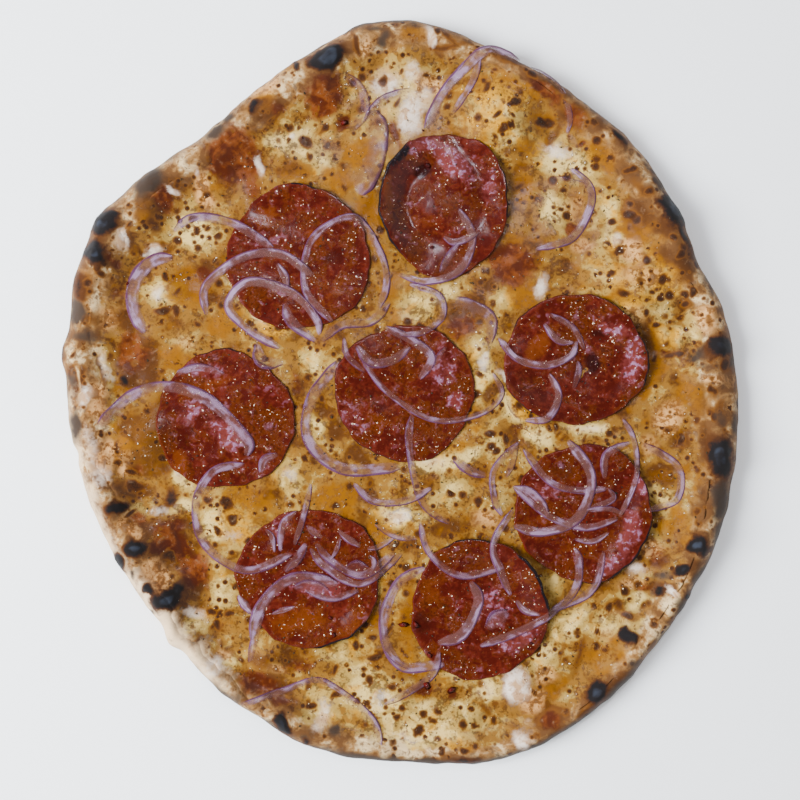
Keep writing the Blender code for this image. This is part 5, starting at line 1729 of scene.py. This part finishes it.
# The strips that have a solid of their own, in the order in which they lie: width, then the middle line.
STRIPS: tuple[tuple, ...] = (
    (3, (-28.5, 30), (-40.5, 45), (-37.5, 66), (-20, 75.5), (-9, 62), (-5.5, 48), (-9, 36)),
    (3.5, (-34, 22), (-25, 29), (-12, 31), (-4, 39.5)),
    (3.5, (-97.5, 69.4), (-88.6, 75.6), (-72, 73), (-54, 62)),
    (3.5, (-83.3, 33), (-83.6, 45.7), (-68.2, 57.8), (-51.3, 59.6), (-36.8, 50)),
    (3.5, (-53, 56), (-49.4, 50), (-48.3, 44.6)),
    (3.5, (-51.3, 19), (-66.4, 28.2), (-73.8, 38), (-64.6, 47.5), (-47, 43.3), (-36, 32), (-34.5, 24.5)),
    (4, (-49.6, 39), (-46.5, 30.5), (-35.6, 22)),
    (5, (-61.6, 21.5), (-59.2, 13.6), (-49.5, 13)),
    (3, (25.3, 79.3), (31.5, 66.7), (26, 52.8), (12, 48), (-0.7, 51.2)),
    (3, (18.6, 67.3), (24.5, 64.8), (35, 69.4)),
    (3, (34.6, 143.8), (31, 133), (22.6, 120)),
    (4, (11, 113), (20, 131), (36.8, 145.6), (51.8, 141.7)),
    (3, (5.5, 131), (-8, 126), (-15.4, 117)),
    (8, (-12, 122), (-9.5, 112), (-10, 102), (-17.5, 85)),
    (3.5, (73.3, 96.8), (82, 89), (82, 79), (74, 66.5), (58.3, 61.8)),
    (5.5, (-97.5, 58.3), (-105.5, 57.2), (-112, 51.5), (-115, 43), (-113.8, 33.5), (-109.5, 25.5)),
    (2.4, (-17, 16), (-6, 1), (14, -11.5), (34, -9.5), (44, -1), (40, 9)),
    (4, (-18.6, 20.5), (-12, 13), (-3, 14), (4.9, 20)),
    (3.5, (-6.6, 28.4), (5.5, 22.4), (13.8, 15), (8.5, 5.5)),
    (2.6, (0, 25), (9.7, 26), (18.5, 33), (17, 42), (4, 47)),
    (4.5, (23.6, 41), (38.7, 33), (38.7, 20)),
    (4.5, (-26, 14), (-38.5, -4), (-39, -21), (-24, -33), (1, -32)),
    (3, (5.5, -9), (4, -20), (6.5, -37), (11.4, -49.5), (22, -56.7)),
    (3, (-20, -39), (-11, -46.8), (2, -46.8), (14, -41)),
    (3, (42.5, 24), (50.4, 14.8), (63, 11.8), (74, 16), (76.4, 22.7)),
    (3, (64.2, 8.5), (68.5, -1), (63.5, -11), (53.7, -12)),
    (4.5, (-129, -15), (-115, -1), (-99.3, 2.5), (-82, -3.5), (-66, -20), (-65.7, -27.7)),
    (3, (-96.6, 8.4), (-86, 10.8), (-75, 7.8)),
    (3.5, (-66.4, -30.7), (-80, -34), (-87.8, -48), (-83.5, -66), (-66, -76.5), (-46, -69.2)),
    (2.6, (-38.1, -39), (-41.4, -53.4), (-45.4, -66)),
    (3, (-44, -50.8), (-50.3, -57), (-51.3, -68.6)),
    (3, (-38.7, -66.6), (-32, -75), (-16.4, -82.3), (1.4, -69.2)),
    (4, (-69.7, -87), (-67.7, -90.3), (-63.5, -95.5)),
    (3, (-57.8, -89.6), (-61, -100), (-64.7, -116.6)),
    (4.5, (-63.7, -106.7), (-59.8, -92.2), (-46, -80), (-26.2, -82.4)),
    (3, (8.7, -54.8), (13, -69), (26.5, -78.8), (45, -75)),
    (3, (49.5, -50), (40.3, -65), (43.6, -77), (48, -87.6)),
    (4.5, (30.5, -81), (34, -90), (27, -104), (16, -108)),
    (4, (11.3, -75.4), (-1, -83), (-7, -102), (1, -118), (20, -117)),
    (3, (17.3, -111), (13, -123), (-7, -134.7)),
    (3, (53.3, -24), (64.3, -38), (76, -42), (89.6, -41.3)),
    (3, (49, -40.3), (64, -53), (80, -58), (94.4, -54)),
    (4, (72.5, -20.4), (82.5, -36), (77, -53.5), (62.2, -60), (49, -57.4)),
    (3, (88.2, -37.5), (89, -26.6), (99.9, -21.3)),
    (3, (104.6, -21.8), (119.7, -32), (119, -46), (106, -50.5)),
    (3, (52, -21), (41, -33), (41, -46), (44.4, -53.3)),
    (3, (34.4, -109.3), (54, -101.5), (74, -87.6), (77.3, -73), (75.2, -66.6)),
    (3, (63, -94.4), (82, -86), (88, -68)),
    (2.6, (-68.6, -133.7), (-50, -128.5), (-33, -124.5), (-12.4, -139.9), (-7.6, -153.6)))

BRIGHT_STRIPS = (4, 5, 6, 9, 10, 12, 15, 16, 25, 26, 33, 38, 43)
PALE_STRIPS = (2, 8, 13, 14, 21, 23, 28, 36)

# Smaller and fainter strips, with no solid of their own: tone, width, then the middle line.
SHREDS: tuple[tuple, ...] = (
    (PALE, 3, (26, 65), (21, 58), (17.4, 51)),
    (MAUVE, 2.5, (56, 140), (66, 133), (70, 127), (73, 118), (72, 111)),
    (FAINT, 4, (-25, 137), (-17, 131), (-15, 122), (-20, 113)),
    (PALE, 2.5, (-24, 24), (-22.3, 15.8), (-14.4, 8.5)),
    (PALE, 2.5, (15, 9.7), (17.3, 16), (20.6, 20)),
    (MAUVE, 4, (23, -28), (30, -33.5), (38, -36)),
    (PALE, 2.5, (-11, -56.5), (-2, -62), (8, -63)),
    (BRIGHT, 3, (62, 30), (68, 22.7), (75.4, 21.4)),
    (MAUVE, 2.5, (64.2, 34), (74.7, 28), (80, 18)),
    (PALE, 3, (76.7, 14), (77.4, 9.5), (74.7, 1)),
    (FAINT, 3, (46.5, -3.6), (52, -11.5)),
    (MAUVE, 4, (-60, -35), (-58, -29), (-52, -26.5)),
    (MAUVE, 3, (-40, -56.7), (-37.4, -60), (-32.8, -62.6)),
    (BRIGHT, 3, (-26.3, -58.7), (-23.6, -62), (-16.4, -66.6)),
    (MAUVE, 2.5, (-14.4, -67.5), (-9, -66.5), (-2, -62.6)),
    (MAUVE, 3, (-13.8, -70), (-11, -72.5), (-11.8, -77)),
    (PALE, 3, (-40.7, -85), (-29, -88.6), (-17, -84.7)),
    (BRIGHT, 2.5, (-55.2, -95.5), (-50.6, -93.8), (-44.7, -92.2)),
    (PALE, 3, (-49.3, -77.8), (-45.4, -73.8), (-41.4, -71.8)),
    (BRIGHT, 3, (50, -89), (54, -93.6), (60.7, -95.2)),
    (PALE, 7, (37.7, -102), (41, -98), (47, -94)),
    (MAUVE, 3, (48.6, -40.7), (56, -42.5), (61.7, -48), (64, -53.7)),
    (MAUVE, 2.5, (89.6, -41), (91.7, -45.8), (80, -50.6)),
    (MAUVE, 2.5, (80, -50.6), (90, -50), (96.5, -52.3)),
    (BRIGHT, 2.4, (96, -11), (100.2, -18), (102.2, -27), (101.7, -36.6), (98.4, -46), (94.3, -53.7)),
    (PALE, 3, (50.6, -21), (48.5, -30.7), (45.7, -37)),
    (BRIGHT, 2.5, (75, -63), (83.4, -64), (90.3, -60)),
    (FAINT, 2, (65, 93), (72, 92), (80, 90)),
    (PALE, 2.4, (-8, -89), (-7, -103), (-4, -113), (5, -119.5)),
    (PALE, 3.4, (-36.2, -64.5), (-29.5, -72.4), (-16, -78.6), (-1.8, -68.8)),
    (PALE, 4, (-50, -77), (-44, -71.5), (-40, -64.5)),
    (FAINT, 6, (-23.5, -76.5), (-18.3, -75), (-13, -76.5)),
    (PALE, 2, (-30, -72.5), (-27, -67.5), (-25.5, -62)),
    (MAUVE, 2.2, (-58, -58.7), (-55, -62), (-53.7, -69)),
    (FAINT, 4.5, (-46, -84), (-38, -83), (-30, -86)))


@dataclass
class Onion:
    """All the strips of onion, laid one after another."""

    ground: Field

    def strips(self) -> list[OnionStrip]:
        """Every strip in the order of laying, the small ones last.

        Returns:
            The strips.
        """
        tones = dict.fromkeys(BRIGHT_STRIPS, BRIGHT) | dict.fromkeys(PALE_STRIPS, PALE)
        laid = []
        for number, (width, *knots) in enumerate(STRIPS, start=1):
            laid.append(OnionStrip(f"onion_strip_{number:02d}", width, tuple(knots),
                                   tones.get(number, MAUVE), f"onion_{number:02d}"))
        for number, (tone, width, *knots) in enumerate(SHREDS, start=1):
            laid.append(OnionStrip(f"onion_shred_{number:02d}", width, tuple(knots), tone))
        return laid

    def build(self) -> list[Piece]:
        """Lay and dress the strips.

        Returns:
            The pieces.
        """
        finishes = {tone: OnionFinish(tone) for tone in Tone}
        pieces = []
        for index, strip in enumerate(self.strips()):
            piece = strip.build(self.ground, index)
            finishes[strip.tone].dress(piece)
            pieces.append(piece)
        return pieces


# -------- herbs and chilli

@dataclass(frozen=True)
class Flakes:
    """Many small flakes as one mesh: flattened double pyramids, scattered at random on the pie."""

    name: str
    count: int
    smallest: float
    largest: float
    flatness: float
    seed: Seed
    finish: tuple[str, Colour, Colour, float]
    places: Rows = ()
    sides: int = 6
    margin: float = 8.0
    slimness: float = 0.28
    uneven: tuple[float, float] = (0.6, 1.3)
    tilt: float = 0.3
    stand: float = 0.1

    def build(self, pie: PieShape, ground: Field) -> Piece:
        """Turn and scale one double pyramid for each flake, and set it on the ground.

        Args:
            pie: The pie on which the flakes lie.
            ground: The height of what lies uppermost.

        Returns:
            The joined mesh.
        """
        random = np.random.default_rng(self.seed)
        x, y = pie.scatter(random, self.count, self.margin)
        size = random.uniform(self.smallest, self.largest, self.count)
        for index, (place_x, place_y, place_size) in enumerate(self.places):
            x[index], y[index], size[index] = place_x, place_y, place_size
        ring = np.arange(self.sides)
        waist = ring * FULL_TURN / self.sides
        belt = np.column_stack((np.cos(waist), np.sin(waist), 0.0 * waist))
        shape = np.vstack((belt, (0, 0, 1), (0, 0, -1)))
        shape = shape[None] * random.uniform(*self.uneven, (self.count, self.sides + 2, 3))
        shape *= size[:, None, None] * np.array((0.5, self.slimness, self.slimness * self.flatness))
        spin = random.uniform(0.0, FULL_TURN, self.count)[:, None]
        tilt = random.uniform(-self.tilt, self.tilt, self.count)[:, None]
        across = shape[..., 0] * np.cos(spin) - shape[..., 1] * np.sin(spin)
        along = shape[..., 0] * np.sin(spin) + shape[..., 1] * np.cos(spin)
        up = shape[..., 2] + across * tilt
        height = ground.read(x, y)[:, None] + self.stand * size[:, None]
        points = np.stack((across + x[:, None], along + y[:, None], up + height), axis=-1).reshape(-1, 3)
        one = np.vstack((fan_faces(self.sides, ring, True), fan_faces(self.sides + 1, ring, False)))
        faces = (one[None] + (self.sides + 2) * np.arange(self.count)[:, None, None]).reshape(-1, 3)
        piece = write_mesh(self.name, points, [faces], {})
        FlakeFinish(*self.finish).dress(piece)
        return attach(piece, BODY)


HERBS = Flakes("herb_flecks", 620, 0.5, 1.3, 0.6, Seed.HERBS,
               ("dried_herb", (0.006, 0.006, 0.0035), (0.028, 0.022, 0.01), 0.6))
CHILLI = Flakes("chilli_flakes", 16, 1.4, 2.6, 0.7, Seed.CHILLI,
                ("chilli_red", (0.02, 0.0012, 0.001), (0.06, 0.003, 0.002), 0.2),
                ((2, -100, 4.5), (7, -100, 4), (12, -126.5, 5), (22, -128.5, 4.5), (12, 98, 4),
                 (-24, 116.5, 4.5), (-30, -97, 2.5), (-28, -104, 3), (13, -113, 3)))


# -------- the whole pizza

@dataclass(frozen=True)
class Relief:
    """The small relief of dough and cheese, and how far what is painted on them stands up or lies low."""

    lumps: float = 0.28
    lump_length: float = 8.0
    swells: float = 0.4
    swell_length: float = 19.0
    rim_swells: float = 0.5
    rim_swell_length: float = 12.0
    creases: float = 0.2
    crease_length: float = 11.0
    spots: float = 0.16
    char: float = 0.45
    char_crust: float = 0.5
    char_crust_length: float = 3.0
    milk: float = 0.2
    brown: float = 0.25
    sauce: float = 0.3
    oil: float = 0.2

    def over(self, painting: Painting) -> Field:
        """The relief over the pie: lumps on lumps, blisters that stand up, sauce that lies low.

        Args:
            painting: What is painted on the pie.

        Returns:
            How far each place stands up.
        """
        x, y = Field.places()
        on = SimpleNamespace(**{layer.value: each.values for layer, each in painting.layers.items()})
        rim = rough_noise(x, y, self.rim_swell_length, Seed.RIM_SWELLS, 2)
        crust = 1.0 + self.char_crust * rough_noise(x, y, self.char_crust_length, Seed.CHAR_CRUST)
        return Field(self.lumps * rough_noise(x, y, self.lump_length, Seed.LUMPS, 3)
                     + self.swells * rough_noise(x, y, self.swell_length, Seed.SWELLS, 2)
                     + self.rim_swells * on.bare * rim
                     - self.brown * on.brown
                     + self.creases * (1.0 - np.abs(rough_noise(x, y, self.crease_length, Seed.CREASES, 2)))
                     + self.spots * on.spot + self.char * on.char * crust
                     + self.milk * on.milk - self.sauce * on.sauce - self.oil * on.oil)


@dataclass
class Pizza:
    """The pizza, from the dough up."""

    pie: PieShape = field(default_factory=PieShape)
    core: float = 0.2
    bare_from: float = 128.0
    bare_slope: float = 12.0
    halo: float = 0.62
    slice_push: float = 1.2

    def paint_pie(self) -> Painting:
        """Paint what the oven, the sauce and the oil did to the dough and the cheese.

        Returns:
            The painting.
        """
        painting = Painting(Seed.PIE_EDGES)
        for layer, rows in (
                (Layer.CHAR, CHAR), (Layer.SMOKE, SMOKE), (Layer.TOAST, TOAST), (Layer.SAUCE, SAUCE),
                (Layer.MILK, MILK), (Layer.CREAM, CREAM), (Layer.BROWN, BROWN), (Layer.GOLD, GOLD),
                (Layer.PEACH, PEACH), (Layer.OIL, OIL), (Layer.SPOT, SPOTS)):
            painting.patches(layer, rows, self.core)
        reach, _ = self.pie.reach_at(painting.x, painting.y)
        painting.layers[Layer.BARE].values[:] = ease((reach - self.bare_from) / self.bare_slope)
        painting.along_edge(Layer.SMOKE, self.pie, EDGE_SMOKE_AND_SHADE)
        painting.along_edge(Layer.FLOUR, self.pie, EDGE_FLOUR)
        halos = [(each.x, each.y, each.half_width * WAVE_REACH, each.half_height * WAVE_REACH, self.halo)
                 for each in SLICES]
        painting.patches(Layer.OIL, halos)
        painting.patches(Layer.SPOT, ToastedSpots().rows(self.pie, painting), 0.0)
        return painting

    def paint_slices(self) -> Painting:
        """Paint the colours of the chorizo."""
        painting = Painting(Seed.SLICE_EDGES, self.slice_push)
        for layer, rows in ((Layer.PINK, PINK), (Layer.AMBER, AMBER), (Layer.DEEP, DEEP)):
            painting.patches(layer, rows)
        return painting

    def build(self) -> list[Piece]:
        """Build and dress every piece, each on what already lies below it.

        Returns:
            The pieces, from the dough up.
        """
        painting = self.paint_pie()
        relief = Relief().over(painting)
        dough = Dough(self.pie, painting, relief).build()
        BakedFinish("baked_dough").dress(dough)
        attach(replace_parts(dough, "crust"), BODY)

        melted = MeltedCheese(self.pie, painting, relief)
        cheese = melted.build()
        BakedFinish("melted_cheese_and_tomato").dress(cheese)
        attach(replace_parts(cheese, "cheese"), BODY)

        x, y = Field.places()
        reach, _ = self.pie.reach_at(x, y)
        upper = np.where(reach < melted.edge_reach, melted.height(x, y), 0.0)
        ground = Field(np.maximum(self.pie.dough_top(x, y), upper))
        meat = self.paint_slices()
        sausage = ChorizoFinish()
        slices = []
        for each in SLICES:
            slices.append(each.build(ground, meat))
            sausage.dress(slices[-1])
        flakes = [kind.build(self.pie, ground) for kind in (HERBS, CHILLI)]
        strips = Onion(ground).build()
        return [dough, cheese, *slices, *flakes, *strips]


# -------- the studio

@dataclass(frozen=True)
class Lamp:
    """A soft square light, aimed at the pizza from a bearing and a height."""

    name: str
    bearing: float
    elevation: float
    distance: float
    side: float
    power: float
    colour: Colour
    mirrored: bool = True

    def build(self) -> None:
        """Hang the light; one that isn't mirrored leaves no reflection of itself on wet surfaces."""
        light = bpy.data.lights.new(self.name, "AREA")
        light.shape = "SQUARE"
        light.size = self.side
        light.energy = self.power
        light.color = self.colour
        lamp = bpy.data.objects.new(self.name, light)
        bearing, elevation = math.radians(self.bearing), math.radians(self.elevation)
        level, height = self.distance * math.cos(elevation), self.distance * math.sin(elevation)
        lamp.location = (level * math.cos(bearing), level * math.sin(bearing), height)
        lamp.rotation_euler = (math.pi / 2 - elevation, 0.0, bearing + math.pi / 2)
        lamp.visible_glossy = self.mirrored
        bpy.context.scene.collection.objects.link(lamp)


@dataclass(frozen=True)
class Studio:
    """A plain pale floor, soft light from the sides and a camera that looks straight down."""

    floor_half: float = 3.0
    floor_colour: Colour = (0.93, 0.93, 0.93)
    sky: Colour = (0.92, 0.96, 1.0)
    camera_place: tuple[float, float, float] = (0.0002, -0.0032, 0.4858)
    lens: float = 50.0
    sensor: float = 36.0
    horizon: float = 1.0
    zenith: float = 0.12
    dim_from: float = 0.6
    dim_to: float = 0.9
    lamps: tuple[Lamp, ...] = (
        Lamp("key", 185.0, 38.0, 1.3, 0.7, 80.0, (0.90, 0.95, 1.0), False),
        Lamp("fill", 30.0, 45.0, 1.6, 1.8, 8.0, (1.0, 0.95, 0.88), False),
        Lamp("window", 178.0, 60.0, 1.2, 0.12, 1.6, (0.66, 0.80, 1.0)),
        Lamp("glint", 80.0, 66.0, 0.9, 0.06, 2.0, (0.92, 0.88, 1.0)))

    def build(self) -> None:
        """Set up the floor, the lights, the surroundings and the camera."""
        half = self.floor_half / MM
        corners = np.array([(-half, -half, 0.0), (half, -half, 0.0), (half, half, 0.0), (-half, half, 0.0)])
        floor = write_mesh("floor", corners, [np.array([(0, 1, 2, 3)])], {})
        plain = Finish("floor_pale")
        plain.shade(self.floor_colour, 0.9)
        plain.dress(floor)
        for lamp in self.lamps:
            lamp.build()
        world = bpy.data.worlds.new("surroundings")
        world.use_nodes = True
        nodes, links = world.node_tree.nodes, world.node_tree.links
        background = nodes["Background"]
        background.inputs["Color"].default_value = (*self.sky, 1.0)
        kinds = ("ShaderNodeTexCoord", "ShaderNodeSeparateXYZ", "ShaderNodeMapRange")
        place, part, fade = (nodes.new(kind) for kind in kinds)
        for number, value in enumerate((self.dim_from, self.dim_to, self.horizon, self.zenith), start=1):
            fade.inputs[number].default_value = value
        links.new(place.outputs["Generated"], part.inputs[0])
        links.new(part.outputs["Z"], fade.inputs[0])
        links.new(fade.outputs[0], background.inputs["Strength"])
        bpy.context.scene.world = world
        lens = bpy.data.cameras.new("camera")
        lens.lens = self.lens
        lens.sensor_width = self.sensor
        camera = bpy.data.objects.new("camera", lens)
        camera.location = self.camera_place
        bpy.context.scene.collection.objects.link(camera)
        bpy.context.scene.camera = camera


def main() -> None:
    """Build the pizza and the studio round it, and report each piece."""
    logging.basicConfig(level=logging.INFO, format="%(name)s: %(message)s")
    for piece in Pizza().build():
        LOG.info("%s: %d faces", piece.name, len(piece.data.polygons))
    Studio().build()


if __name__ == "__main__":
    main()
